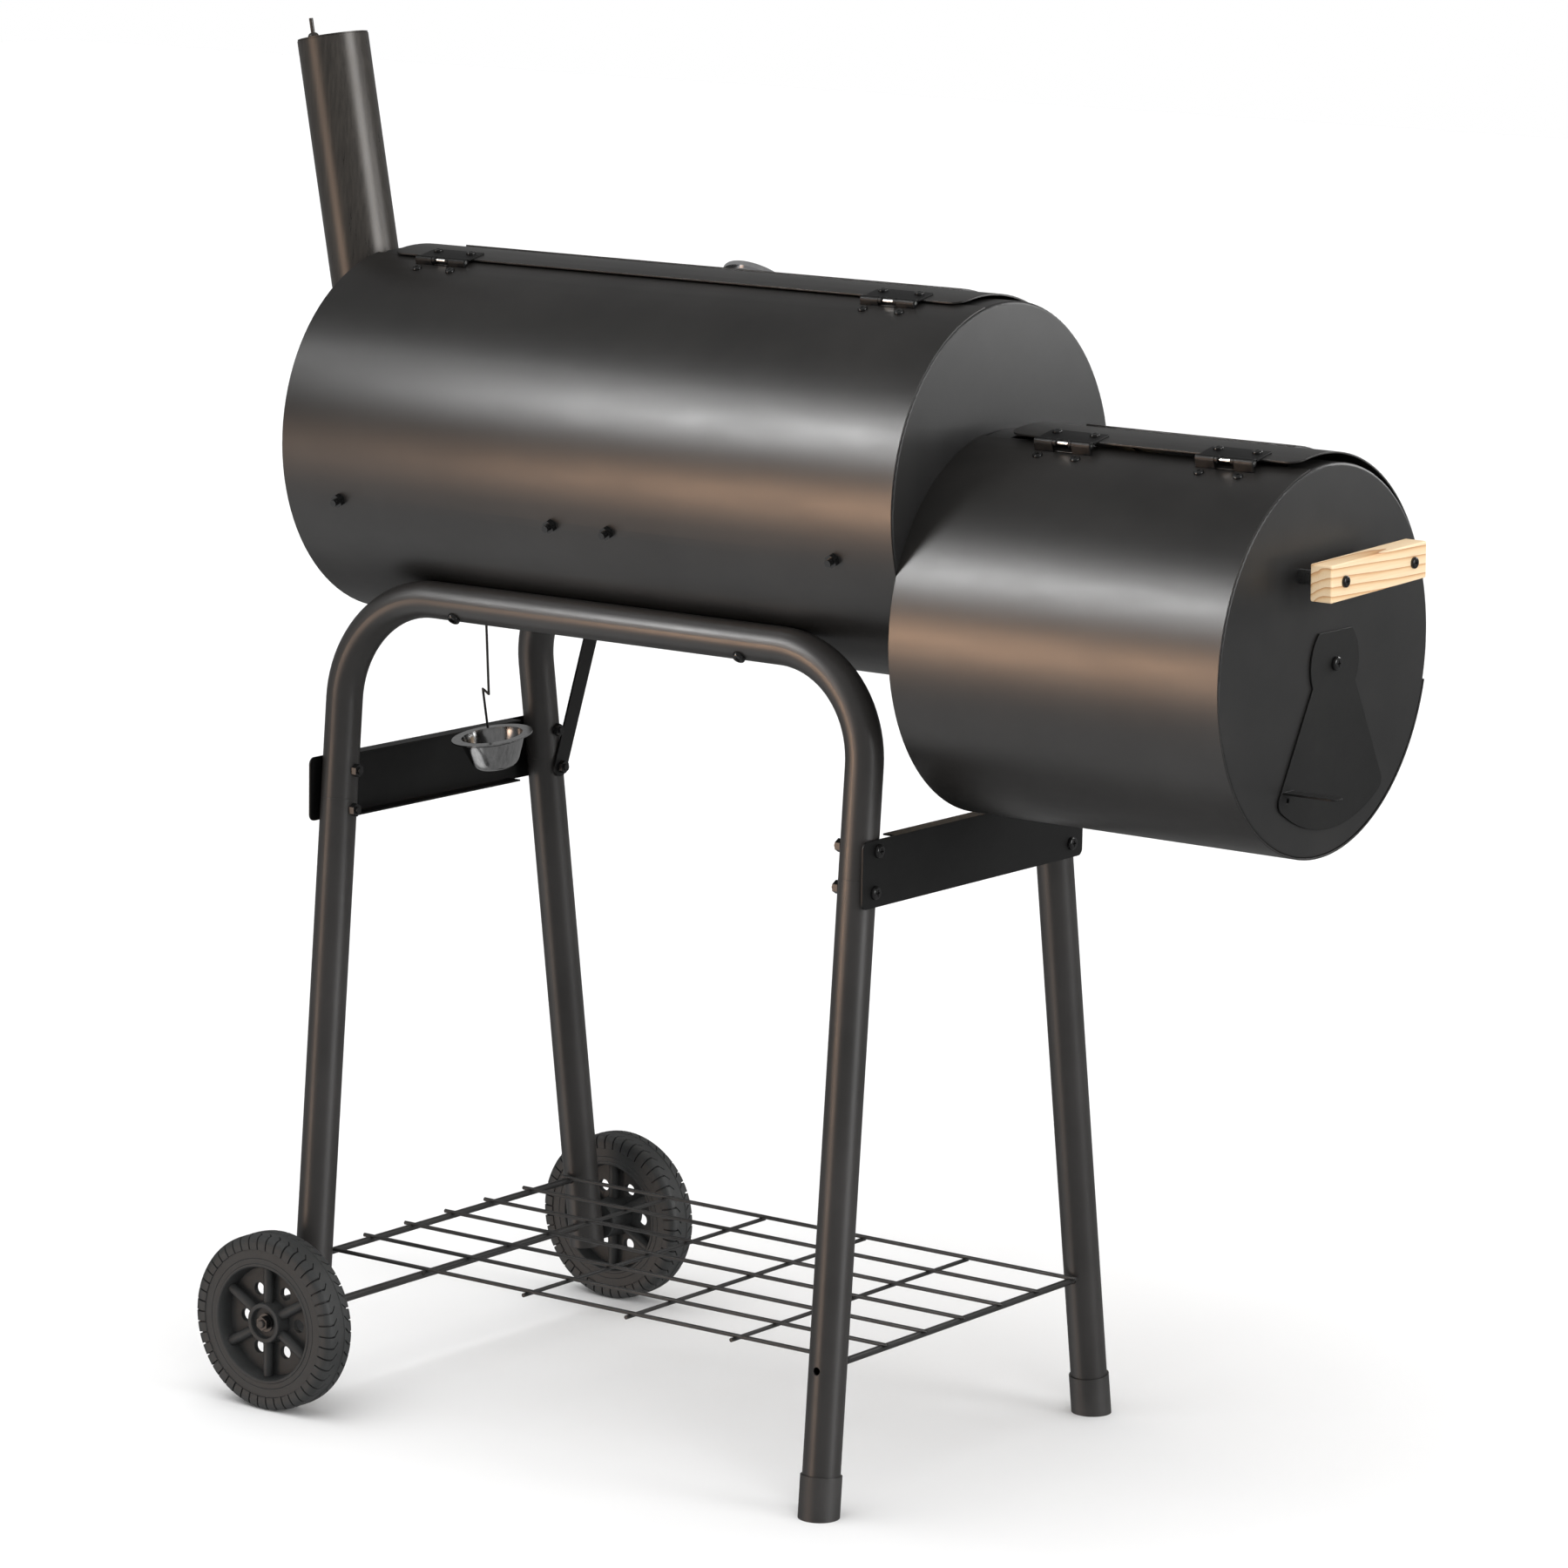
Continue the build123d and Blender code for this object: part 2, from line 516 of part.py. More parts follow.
def make_barrel():
    body = shell(0, BARREL_L, BARREL_R, BARREL_Z)
    body = cut_hinge_slots(drill_screws(body, main_hinges, False), main_hinges)
    for x, deg in rail_bolts + saddle_bolts + shelf_bolts:
        body -= radial(x, deg, BARREL_Z, BARREL_R - 10, BARREL_R + 10, BOLT_R + BOLT_PLAY)
    body -= radial(HOOK_X, -90, BARREL_Z, BARREL_R - 10, BARREL_R + 10, HOOK_HOLE_R)
    nodes["barrel_shell"] = body

    passage = rod((-20, 0, PASSAGE_Z), (20, 0, PASSAGE_Z), PASSAGE_R)
    cap = end_cap(0, -1, BARREL_R, BARREL_Z) - passage
    inner = end_cap(0, 1, FIREBOX_R, FIREBOX_Z) - passage
    for y, z in join_points:
        hole = rod((-20, y, z), (20, y, z), BOLT_R + BOLT_PLAY)
        cap -= hole
        inner -= hole
    nodes["barrel_end_cap_firebox_side"] = cap
    nodes["firebox_end_cap_barrel_side"] = inner

    cap = end_cap(BARREL_L, 1, BARREL_R, BARREL_Z)
    cap -= rod((BARREL_L - 20, 0, elbow_z), (BARREL_L + 20, 0, elbow_z), CHIMNEY_R - CHIMNEY_WALL)
    for y, z in chimney_bolts:
        cap -= rod((BARREL_L - 20, y, z), (BARREL_L + 20, y, z), BOLT_R + BOLT_PLAY)
    nodes["barrel_end_cap_chimney_side"] = cap


def make_firebox():
    body = shell(-FIREBOX_L, 0, FIREBOX_R, FIREBOX_Z)
    nodes["firebox_shell"] = cut_hinge_slots(drill_screws(body, firebox_hinges, False), firebox_hinges)
    cap = end_cap(-FIREBOX_L, -1, FIREBOX_R, FIREBOX_Z)
    x0, x1 = -FIREBOX_L - 20, -FIREBOX_L + 20
    for hole in handle_holes(*end_handle[:3], HANDLE_PITCH):
        cap -= hole
    cap -= rod((x0, *vent_pivot[1:]), (x1, *vent_pivot[1:]), BOLT_R)
    for step in (-1, 0, 1):
        deg = radians(-90 + step * VENT_HOLE_STEP)
        y, z = vent_pivot[1] + VENT_HOLE_OUT * cos(deg), vent_pivot[2] + VENT_HOLE_OUT * sin(deg)
        cap -= rod((x0, y, z), (x1, y, z), VENT_HOLE_R)
    nodes["firebox_end_cap_outer"] = cap


def make_lids():
    lid = lid_sheet(LID_INSET, BARREL_L - LID_INSET, LID_R, BARREL_Z)
    lid = drill_screws(lid, main_hinges, True)
    for hole in handle_holes(*main_handle[:3], MAIN_HANDLE_PITCH):
        lid -= hole
    lid -= radial(THERMO_X, THERMO_DEG, BARREL_Z, LID_R - 10, LID_R + 10, THERMO_STEM_R + 0.1)
    nodes["main_lid"] = lid
    lid = lid_sheet(*firebox_lid_x, FIREBOX_LID_R, FIREBOX_Z)
    lid = drill_screws(lid, firebox_hinges, True)
    for hole in handle_holes(*firebox_handle[:3], HANDLE_PITCH):
        lid -= hole
    nodes["firebox_lid"] = lid


def make_hinges():
    both = main_hinges + firebox_hinges
    leaves = []
    for hinge in both:
        leaves.append(drill_screws(fixed_leaf(*hinge), [hinge], False))
    nodes["fixed_hinge_leaves"] = joined(leaves)
    nodes["hinge_pins"] = joined([hinge_pin(*h) for h in both])
    nodes["fixed_hinge_screws"] = joined(hinge_screws(both, False))
    for name, group in (("main_lid", main_hinges), ("firebox_lid", firebox_hinges)):
        leaves = [drill_screws(moving_leaf(*h), [h], True) for h in group]
        nodes[name + "_hinge_leaves"] = joined(leaves)
        nodes[name + "_hinge_screws"] = joined(hinge_screws(group, True))


def make_handles():
    for name, spec in (("main_lid", main_handle), ("firebox_lid", firebox_handle), ("end", end_handle)):
        bar, sleeves, screws = wooden_handle(*spec)
        nodes[name + "_handle_bar"] = bar
        nodes[name + "_handle_sleeves"] = joined(sleeves)
        nodes[name + "_handle_fasteners"] = joined(screws)


# ---------------------------------------------------------------- thermometer
thermo_seat = around(THERMO_X, LID_R + SHEET + PANEL_RISE, THERMO_DEG, BARREL_Z)
thermo_out = (0, cos(radians(THERMO_DEG)), sin(radians(THERMO_DEG)))
thermo_plane = Plane(origin=thermo_seat, x_dir=(1, 0, 0), z_dir=thermo_out)


def disc(plane, low, high, radius, bore=0.0):
    ring = Circle(radius) - Circle(bore) if bore else Circle(radius)
    return extrude(plane.offset(low) * ring, amount=high - low)


def make_thermometer():
    plane = thermo_plane
    inside = THERMO_CASE_R - THERMO_WALL
    case = disc(plane, 0, THERMO_H - 3, THERMO_CASE_R) + disc(plane, THERMO_H - 5, THERMO_H, THERMO_R)
    outer = case.edges().filter_by(GeomType.CIRCLE).group_by(lambda e: (e.center() - plane.origin).dot(plane.z_dir))
    case = fillet([e for e in outer[-1] if e.radius > THERMO_CASE_R], 2.2)
    case -= disc(plane, THERMO_WALL, THERMO_H - 3, inside)
    case -= disc(plane, THERMO_H - 4, THERMO_H + 1, inside - 1.5)
    case += disc(plane, -THERMO_STEM_L, 0.2, THERMO_STEM_R)
    nodes["thermometer_case"] = case
    nodes["thermometer_dial"] = disc(plane, THERMO_WALL, THERMO_WALL + DIAL_T, inside, 2.2)
    top = THERMO_H - 3
    nodes["thermometer_glass"] = disc(plane, top - GLASS_T, top, inside)
    low = THERMO_WALL + DIAL_T + 1.2
    hub = disc(plane, THERMO_WALL + 0.2, low + 2.2, 1.8) + disc(plane, low, low + 1.6, 3.2)
    blade = make_face(Polyline((-1.4, -7), (1.4, -7), (0.5, inside - 6), (-0.5, inside - 6), close=True))
    nodes["thermometer_needle"] = hub + extrude(plane.offset(low) * (Rot(0, 0, 50) * blade), amount=0.8)
    nut_base = Vector(*thermo_seat) - Vector(*thermo_out) * (SHEET + SEAT_GAP)
    inward = Vector(*thermo_out) * -1
    nodes["thermometer_nut"] = hex_nut(nut_base, inward, THERMO_STEM_R, 12.0, 4.0)


# ---------------------------------------------------------------- chimney
axis_way = Vector(sin(lean), 0, cos(lean))
pipe_foot = Vector(elbow_end_x, 0, elbow_end_z) + axis_way * 6
pipe_top = Vector(*chimney_top)
flap_plane = Plane(origin=pipe_top, x_dir=(cos(lean), 0, -sin(lean)), z_dir=axis_way)


def make_chimney():
    start = (BARREL_L, 0, elbow_z)
    corner = (elbow_x + ELBOW_R * tan((pi / 2 - lean) / 2), 0, elbow_z)
    path = FilletPolyline(start, corner, pipe_foot, radius=ELBOW_R)
    section = Plane(origin=start, z_dir=(1, 0, 0))
    bend = sweep(section * Circle(CHIMNEY_R), path=path)
    half = CHIMNEY_PLATE / 2
    plate = box((BARREL_L, BARREL_L + CHIMNEY_PLATE_T), (-half, half), (elbow_z - half, elbow_z + half))
    plate = fillet(plate.edges().filter_by(Axis.X), 8)
    bend += plate
    bend += rod(pipe_foot - axis_way * 4, pipe_foot + axis_way * 20, CHIMNEY_R - CHIMNEY_WALL)
    bend -= sweep(section * Circle(CHIMNEY_R - 2 * CHIMNEY_WALL), path=path)
    bend -= rod(pipe_foot - axis_way, pipe_foot + axis_way * 21, CHIMNEY_R - 2 * CHIMNEY_WALL)
    for y, z in chimney_bolts:
        bend -= rod((BARREL_L - 9, y, z), (BARREL_L + 9, y, z), BOLT_R + BOLT_PLAY)
    nodes["chimney_elbow"] = bend

    pipe = tube(pipe_foot, pipe_top, CHIMNEY_R, CHIMNEY_WALL)
    lug = Pos(FLAP_PIN_OUT, 0) * Circle(LUG_R) + Pos(FLAP_PIN_OUT + 4, 0) * Rectangle(8, 2 * LUG_R)
    lug &= Circle(CHIMNEY_R - CHIMNEY_WALL / 2)
    lug -= Pos(FLAP_PIN_OUT, 0) * Circle(FLAP_PIN_R + FIT)
    pipe += extrude(flap_plane * lug, amount=-LUG_H)
    nodes["chimney_pipe"] = pipe

    flap = disc(flap_plane, FLAP_LIFT, FLAP_LIFT + FLAP_T, CHIMNEY_R - 0.5)
    spot = flap_plane * Pos(FLAP_PIN_OUT, 0, 0)
    dome = spot * Pos(0, 0, FLAP_LIFT + FLAP_T - 0.1) * Cylinder(
        FLAP_KNOB_R, 6.0, align=(Align.CENTER, Align.CENTER, Align.MIN))
    crown = dome.edges().group_by(lambda e: (e.center() - pipe_top).dot(axis_way))[-1]
    dome = fillet(crown, 4.2)
    at = pipe_top + flap_plane.x_dir * FLAP_PIN_OUT
    finger = rod(at - axis_way * (LUG_H + 2), at + axis_way * 20, FLAP_PIN_R)
    nodes["chimney_flap"] = flap + dome + finger


# ---------------------------------------------------------------- inside the barrels
def make_rails_and_grates():
    inner = BARREL_R - SHEET
    rails = []
    shelf_top = BARREL_Z - RAIL_DROP + 10
    reach = degrees(11.0 / inner)
    for x in rail_starts:
        for side in (1, -1):
            x0, x1 = x - 14, x + RAIL_PITCH + 14
            deg = rail_deg if side > 0 else 180 - rail_deg
            rail = band(x0, x1, inner - RAIL_T, inner, deg - reach, deg + reach, BARREL_Z)
            drop = BARREL_Z - shelf_top + RAIL_T
            wall_y = ((inner - 0.2) ** 2 - drop ** 2) ** 0.5
            ys = sorted((side * wall_y, side * (wall_y - RAIL_SHELF)))
            rail += box((x0, x1), ys, (shelf_top - RAIL_T, shelf_top))
            for bolt_x in (x, x + RAIL_PITCH):
                rail -= radial(bolt_x, deg, BARREL_Z, inner - 8, inner + 8, BOLT_R + BOLT_PLAY)
            rails.append(rail)
    nodes["grate_rails"] = joined(rails)

    half = ((inner - 0.2) ** 2 - (BARREL_Z - shelf_top + RAIL_T) ** 2) ** 0.5 - 7
    z = shelf_top + GRATE_BAR_R
    wall = CAP_DEPTH + 1 + GRATE_OVER
    gap = GRATE_GAP / 2 + GRATE_OVER
    for name, x0, x1 in (("left", wall, MID_X - gap), ("right", MID_X + gap, BARREL_L - wall)):
        count = round((x1 - x0) / GRATE_PITCH)
        bars = []
        for i in range(count + 1):
            x = x0 + (x1 - x0) * i / count
            bars.append(rod((x, -half - 2, z + 2), (x, half + 2, z + 2), GRATE_WIRE_R))
        for y in (-half, -half / 3, half / 3, half):
            bars.append(rod((x0 - GRATE_OVER, y, z), (x1 + GRATE_OVER, y, z), GRATE_BAR_R))
        nodes["cooking_grate_" + name] = bars[0].fuse(*bars[1:])

    inner = FIREBOX_R - SHEET
    half = (inner ** 2 - FIRE_GRATE_DROP ** 2) ** 0.5 - 10
    z = FIREBOX_Z - FIRE_GRATE_DROP
    x0, x1 = -FIREBOX_L + CAP_DEPTH + 4, -CAP_DEPTH - 4
    bars = []
    for i in range(FIRE_GRATE_BARS):
        y = -half + 2 * half * i / (FIRE_GRATE_BARS - 1)
        bars.append(rod((x0, y, z), (x1, y, z), GRATE_BAR_R))
    foot_r = GRATE_BAR_R - 0.4
    foot_z = FIREBOX_Z - ((inner - 0.3) ** 2 - (FIRE_GRATE_FOOT_Y + foot_r) ** 2) ** 0.5
    for x in (x0 + 20, x1 - 20):
        bars.append(rod((x, -half - 5, z - 2), (x, half + 5, z - 2), GRATE_BAR_R))
        for y in (-FIRE_GRATE_FOOT_Y, FIRE_GRATE_FOOT_Y):
            bars.append(rod((x, y, foot_z), (x, y, z - 1), foot_r))
    nodes["fire_grate"] = bars[0].fuse(*bars[1:])


# ---------------------------------------------------------------- stand
def x_drill(solid, x, spots):
    """Bolt holes along X near x."""
    for y, z in spots:
        solid -= rod((x - 60, y, z), (x + 60, y, z), BOLT_R + BOLT_PLAY)
    return solid


def leg_spots(side):
    return [(side * leg_y(z), z) for z in PANEL_BOLT_Z]


def seam(top_x, side):
    """A fine groove where an upper and a lower leg tube meet."""
    joint = Vector(*on_leg(top_x, side, JOINT_Z))
    way = joint - Vector(*on_leg(top_x, side, 0))
    return Plane(origin=joint, z_dir=way) * Torus(TUBE_R + JOINT_GROOVE / 3, JOINT_GROOVE)


def make_stand():
    for name, side, saddle in (("rear", 1, -SADDLE_DEG), ("front", -1, 180 + SADDLE_DEG)):
        points = [on_leg(STAND_X1, side, JOINT_Z), (STAND_X1, side * TOP_Y, TOP_Z),
                  (STAND_X0, side * TOP_Y, TOP_Z), on_leg(STAND_X0, side, JOINT_Z)]
        path = FilletPolyline(*points, radius=BEND_R)
        section = Plane(origin=points[0], z_dir=path % 0)
        hoop = sweep(section * (Circle(TUBE_R) - Circle(TUBE_R - TUBE_WALL)), path=path)
        for x, deg in saddle_bolts:
            if deg == saddle:
                hoop -= radial(x, deg, BARREL_Z, BARREL_R - 5, BARREL_R + 50, BOLT_R + BOLT_PLAY)
        hoop = x_drill(x_drill(hoop, STAND_X0, leg_spots(side)), STAND_X1, leg_spots(side))
        for top_x in (STAND_X0, STAND_X1):
            hoop -= seam(top_x, side)
        nodes[name + "_frame_tube"] = hoop
        for part, top_x, foot_z in (("foot", STAND_X0, 4.0), ("wheel", STAND_X1, AXLE_Z - TUBE_R - 2)):
            bottom = Vector(*on_leg(top_x, side, foot_z))
            joint = Vector(*on_leg(top_x, side, JOINT_Z))
            way = (joint - bottom).normalized()
            leg = rod(bottom, joint, TUBE_R) + rod(joint - way * 5, joint + way * SPIGOT_L, TUBE_R - TUBE_WALL)
            leg -= rod(bottom - way, joint - way * 10, TUBE_R - TUBE_WALL)
            leg -= rod(bottom, joint + way * (SPIGOT_L + 1), TUBE_R - 2 * TUBE_WALL)
            leg = x_drill(leg, top_x, leg_spots(side)) - seam(top_x, side)
            x, y = leg_x(top_x, SHELF_Z), side * leg_y(SHELF_Z)
            leg -= rod((x, y - 30, SHELF_Z), (x, y + 30, SHELF_Z), SHELF_EDGE_R + 0.3)
            if part == "wheel":
                y = side * leg_y(AXLE_Z)
                leg -= rod((AXLE_X, y - 30, AXLE_Z), (AXLE_X, y + 30, AXLE_Z), AXLE_R)
            nodes[f"{name}_leg_{part}_side"] = leg
    caps = []
    for side in (1, -1):
        low, high = Vector(*on_leg(STAND_X0, side, -8)), Vector(*on_leg(STAND_X0, side, FOOT_CAP_H))
        seat = Vector(*on_leg(STAND_X0, side, 4.0))
        cap = rod(low, high, FOOT_CAP_R) - rod(seat, high + (high - low), TUBE_R)
        caps.append(cap - box((low.X - 50, low.X + 50), (low.Y - 50, low.Y + 50), (-60, 0)))
    nodes["foot_caps"] = joined(caps)


def panel_web_x(top_x, out):
    """Inner face of a cross panel that lies against the legs."""
    worst = PANEL_Z0 if out < 0 else PANEL_Z1
    return leg_x(top_x, worst) + out * (TUBE_R + 0.1)


def make_panels():
    for name, top_x, out in (("foot", STAND_X0, -1), ("wheel", STAND_X1, 1)):
        face = panel_web_x(top_x, out)
        half = leg_y(PANEL_Z0) + TUBE_R
        web = box(sorted((face, face + out * SHEET)), (-half, half), (PANEL_Z0, PANEL_Z1))
        web = fillet(web.edges().filter_by(Axis.X), 6)
        reach = leg_y(PANEL_Z1) - TUBE_R - 8
        for z0 in (PANEL_Z0, PANEL_Z1 - SHEET):
            web += box(sorted((face, face - out * PANEL_FLANGE)), (-reach, reach), (z0, z0 + SHEET))
        for side in (1, -1):
            web = x_drill(web, top_x, leg_spots(side))
        nodes[f"cross_panel_{name}_side"] = web


def make_wheels():
    splay = radians(SPLAY_DEG)
    inner_washer = leg_y(AXLE_Z) + TUBE_R / cos(splay) + WASHER_R * tan(splay) + 0.1
    hub_in = inner_washer + WASHER_T + 0.4
    outer_face = WHEEL_Y + WHEEL_W / 2
    recess = outer_face - HUB_RECESS
    washers, nuts = [], []
    for name, side in (("rear", 1), ("front", -1)):
        def y_rod(y0, y1, radius, x=AXLE_X, z=AXLE_Z):
            return rod((x, side * y0, z), (x, side * y1, z), radius)

        y0, y1 = WHEEL_Y - WHEEL_W / 2, WHEEL_Y + WHEEL_W / 2
        tyre = y_rod(y0, y1, WHEEL_R)
        tyre = fillet(tyre.edges().filter_by(GeomType.CIRCLE), 7)
        tyre -= y_rod(y0 - 1, y1 + 1, RIM_R - 3)
        wheel = tyre + y_rod(WHEEL_Y - 3, WHEEL_Y + 2, RIM_R)
        wheel += y_rod(hub_in, y1 - 2, HUB_R)
        for i in range(SPOKES):
            turn = 2 * pi * i / SPOKES + pi / 2
            rib = box((0, RIM_R), (WHEEL_Y - 9, WHEEL_Y + 9), (-3.5, 3.5))
            rib = fillet(rib.edges().filter_by(Axis.X), 2)
            if side < 0:
                rib = mirror(rib, about=Plane.XZ)
            wheel += Pos(AXLE_X, 0, AXLE_Z) * Rot(0, degrees(turn), 0) * rib
            mid = turn + pi / SPOKES
            x, z = AXLE_X + 33 * cos(mid), AXLE_Z + 33 * sin(mid)
            wheel -= y_rod(WHEEL_Y - 9, WHEEL_Y + 9, 5.5, x, z)
        wheel -= y_rod(recess, y1 + 1, HUB_R - 4.5)
        wheel -= y_rod(hub_in - 1, recess + 1, AXLE_R + FIT)
        nodes[name + "_wheel"] = wheel
        bore = AXLE_R
        washers.append(y_rod(inner_washer, inner_washer + WASHER_T, WASHER_R) - y_rod(0, 300, bore))
        washers.append(y_rod(recess + 0.2, recess + 0.2 + WASHER_T, WASHER_R) - y_rod(0, 300, bore))
        seat = recess + 0.2 + WASHER_T
        nuts.append(hex_nut((AXLE_X, side * seat, AXLE_Z), (0, side, 0), bore, 11.0, AXLE_NUT_T))
    end = recess + 0.2 + WASHER_T + AXLE_NUT_T + 2
    axle = rod((AXLE_X, -end, AXLE_Z), (AXLE_X, end, AXLE_Z), AXLE_R)
    nodes["axle"] = fillet(axle.edges().filter_by(GeomType.CIRCLE), 0.8)
    nodes["axle_washers"] = joined(washers)
    nodes["axle_nuts"] = joined(nuts)


def make_wire_shelf():
    x0, x1 = leg_x(STAND_X0, SHELF_Z), leg_x(STAND_X1, SHELF_Z)
    reach = (SHELF_LONG - 1) / 2 * SHELF_PITCH
    wires = []
    for i in range(SHELF_CROSS):
        x = x0 + (x1 - x0) * i / (SHELF_CROSS - 1)
        edge = i in (0, SHELF_CROSS - 1)
        half = leg_y(SHELF_Z) + 4 if edge else reach + 5
        wires.append(rod((x, -half, SHELF_Z), (x, half, SHELF_Z), SHELF_EDGE_R if edge else SHELF_WIRE_R))
    top = SHELF_Z + 2 * SHELF_WIRE_R - 0.5
    for i in range(SHELF_LONG):
        y = -reach + i * SHELF_PITCH
        wires.append(rod((x0 - 7, y, top), (x1 + 7, y, top), SHELF_WIRE_R))
    nodes["wire_shelf"] = wires[0].fuse(*wires[1:])


# ---------------------------------------------------------------- front shelf
def make_front_shelf():
    shelf_end = SIDE_SHELF_Y - SLAT_COUNT * SLAT_W - (SLAT_COUNT - 1) * SLAT_GAP
    low = SIDE_SHELF_Z - BRACKET_W
    brackets, braces = [], []
    for x, s in zip(bracket_x, bracket_side):
        x0, x1 = sorted((x + s * BRACKET_T, x + 2 * s * BRACKET_T))
        web = box((x0, x1), (shelf_end - 4, -BARREL_R / 2), (low, SIDE_SHELF_Z))
        web -= rod((x0 - 9, 0, BARREL_Z), (x1 + 9, 0, BARREL_Z), BARREL_R)
        foot_x = sorted((x + s * BRACKET_T, x + s * (TAB_BOLT + 10)))
        reach = degrees(9.0 / BARREL_R)
        web += band(*foot_x, BARREL_R, BARREL_R + BRACKET_T, tab_deg - reach, tab_deg + reach, BARREL_Z)
        flange_x = sorted((x + s * BRACKET_T, x + s * BRACKET_W))
        web += box(flange_x, (shelf_end - 4, SIDE_SHELF_Y + 4), (SIDE_SHELF_Z - BRACKET_T, SIDE_SHELF_Z))
        web -= radial(x + s * TAB_BOLT, tab_deg, BARREL_Z, BARREL_R - 9, BARREL_R + 19, BOLT_R + BOLT_PLAY)
        brackets.append(web - rod((x - 20, *brace_top), (x + 20, *brace_top), BOLT_R + BOLT_PLAY))
        bottom = (-leg_y(PANEL_BOLT_Z[0]), PANEL_BOLT_Z[0])
        run = Vector(0, brace_top[0] - bottom[0], brace_top[1] - bottom[1])
        centre = ((bottom[0] + brace_top[0]) / 2, (bottom[1] + brace_top[1]) / 2)
        plane = Plane(origin=(x, *centre), x_dir=run, z_dir=(s, 0, 0))
        bar = SlotOverall(run.length + BRACE_W, BRACE_W)
        brace = extrude(plane * bar, amount=BRACKET_T)
        for spot in (bottom, brace_top):
            brace -= rod((x - 20, *spot), (x + 20, *spot), BOLT_R + BOLT_PLAY)
        braces.append(brace)
    nodes["front_shelf_brackets"] = joined(brackets)
    nodes["front_shelf_braces"] = joined(braces)
    slats = []
    x0, x1 = bracket_x[0] - SLAT_OVER, bracket_x[1] + SLAT_OVER
    for i in range(SLAT_COUNT):
        y1 = SIDE_SHELF_Y - i * (SLAT_W + SLAT_GAP)
        slat = box((x0, x1), (y1 - SLAT_W, y1), (SIDE_SHELF_Z, SIDE_SHELF_Z + SLAT_T))
        slats.append(fillet(slat.edges(), 2.0))
    nodes["front_shelf_slats"] = joined(slats)


# ---------------------------------------------------------------- fasteners
def make_fasteners():
    inner = BARREL_R - SHEET
    bolts, nuts = [], []
    for x, deg in rail_bolts:
        way = Vector(0, cos(radians(deg)), sin(radians(deg)))
        seat = Vector(*around(x, inner - RAIL_T - SEAT_GAP, deg, BARREL_Z))
        bolts.append(pan_screw(seat, way * -1, BOLT_R, RAIL_BOLT_L, BOLT_HEAD_R, BOLT_HEAD_T))
        nuts.append(hex_nut(around(x, BARREL_R, deg, BARREL_Z), way, BOLT_R))
    for y, z in join_points:
        bolts.append(pan_screw((SHEET, y, z), (1, 0, 0), BOLT_R, 2 * SHEET + NUT_T + 2, BOLT_HEAD_R, BOLT_HEAD_T))
        nuts.append(hex_nut((-SHEET, y, z), (-1, 0, 0), BOLT_R))
    for y, z in chimney_bolts:
        seat_x = BARREL_L + CHIMNEY_PLATE_T
        length = CHIMNEY_PLATE_T + SHEET + NUT_T + 2
        bolts.append(pan_screw((seat_x, y, z), (1, 0, 0), BOLT_R, length, BOLT_HEAD_R, BOLT_HEAD_T))
        nuts.append(hex_nut((BARREL_L - SHEET, y, z), (-1, 0, 0), BOLT_R))
    for (x, deg), side in zip(shelf_bolts, bracket_side):
        way = Vector(0, cos(radians(deg)), sin(radians(deg)))
        seat = Vector(*around(x, BARREL_R + BRACKET_T, deg, BARREL_Z))
        bolts.append(pan_screw(seat, way, BOLT_R, BRACKET_T + SHEET + NUT_T + 2, BOLT_HEAD_R, BOLT_HEAD_T))
        nuts.append(hex_nut(around(x, inner - SEAT_GAP, deg, BARREL_Z), way * -1, BOLT_R))
    for x, s in zip(bracket_x, bracket_side):
        seat = Vector(x, *brace_top)
        bolts.append(pan_screw(seat, (-s, 0, 0), BOLT_R, 2 * BRACKET_T + NUT_T + 2, BOLT_HEAD_R, BOLT_HEAD_T))
        nuts.append(hex_nut(seat + Vector(s * 2 * BRACKET_T, 0, 0), (s, 0, 0), BOLT_R))
    for x, deg in saddle_bolts:
        way = Vector(0, cos(radians(deg)), sin(radians(deg)))
        seat = Vector(*around(x, BARREL_R + 2 * TUBE_R, deg, BARREL_Z))
        length = 2 * TUBE_R + SHEET + NUT_T + 3
        bolts.append(pan_screw(seat, way, BOLT_R, length, BOLT_HEAD_R, BOLT_HEAD_T))
        nuts.append(hex_nut(around(x, inner - SEAT_GAP, deg, BARREL_Z), way * -1, BOLT_R))
    for top_x, out in ((STAND_X0, -1), (STAND_X1, 1)):
        face = panel_web_x(top_x, out) + out * SHEET
        for side in (1, -1):
            for y, z in leg_spots(side):
                inside = leg_x(top_x, z) - out * (TUBE_R + 2 * SEAT_GAP)
                if side < 0 and z == PANEL_BOLT_Z[0]:
                    inside = bracket_x[0 if out < 0 else 1] - out * BRACKET_T
                length = abs(face - inside) + NUT_T + 2
                bolts.append(pan_screw((face, y, z), (out, 0, 0), BOLT_R, length, BOLT_HEAD_R, BOLT_HEAD_T))
                nuts.append(hex_nut((inside, y, z), (-out, 0, 0), BOLT_R))
    pivot = Vector(-FIREBOX_L + SHEET, *vent_pivot[1:])
    nuts.append(hex_nut(pivot, (1, 0, 0), BOLT_R))
    nodes["bolts"] = joined(bolts)
    nodes["nuts"] = joined(nuts)


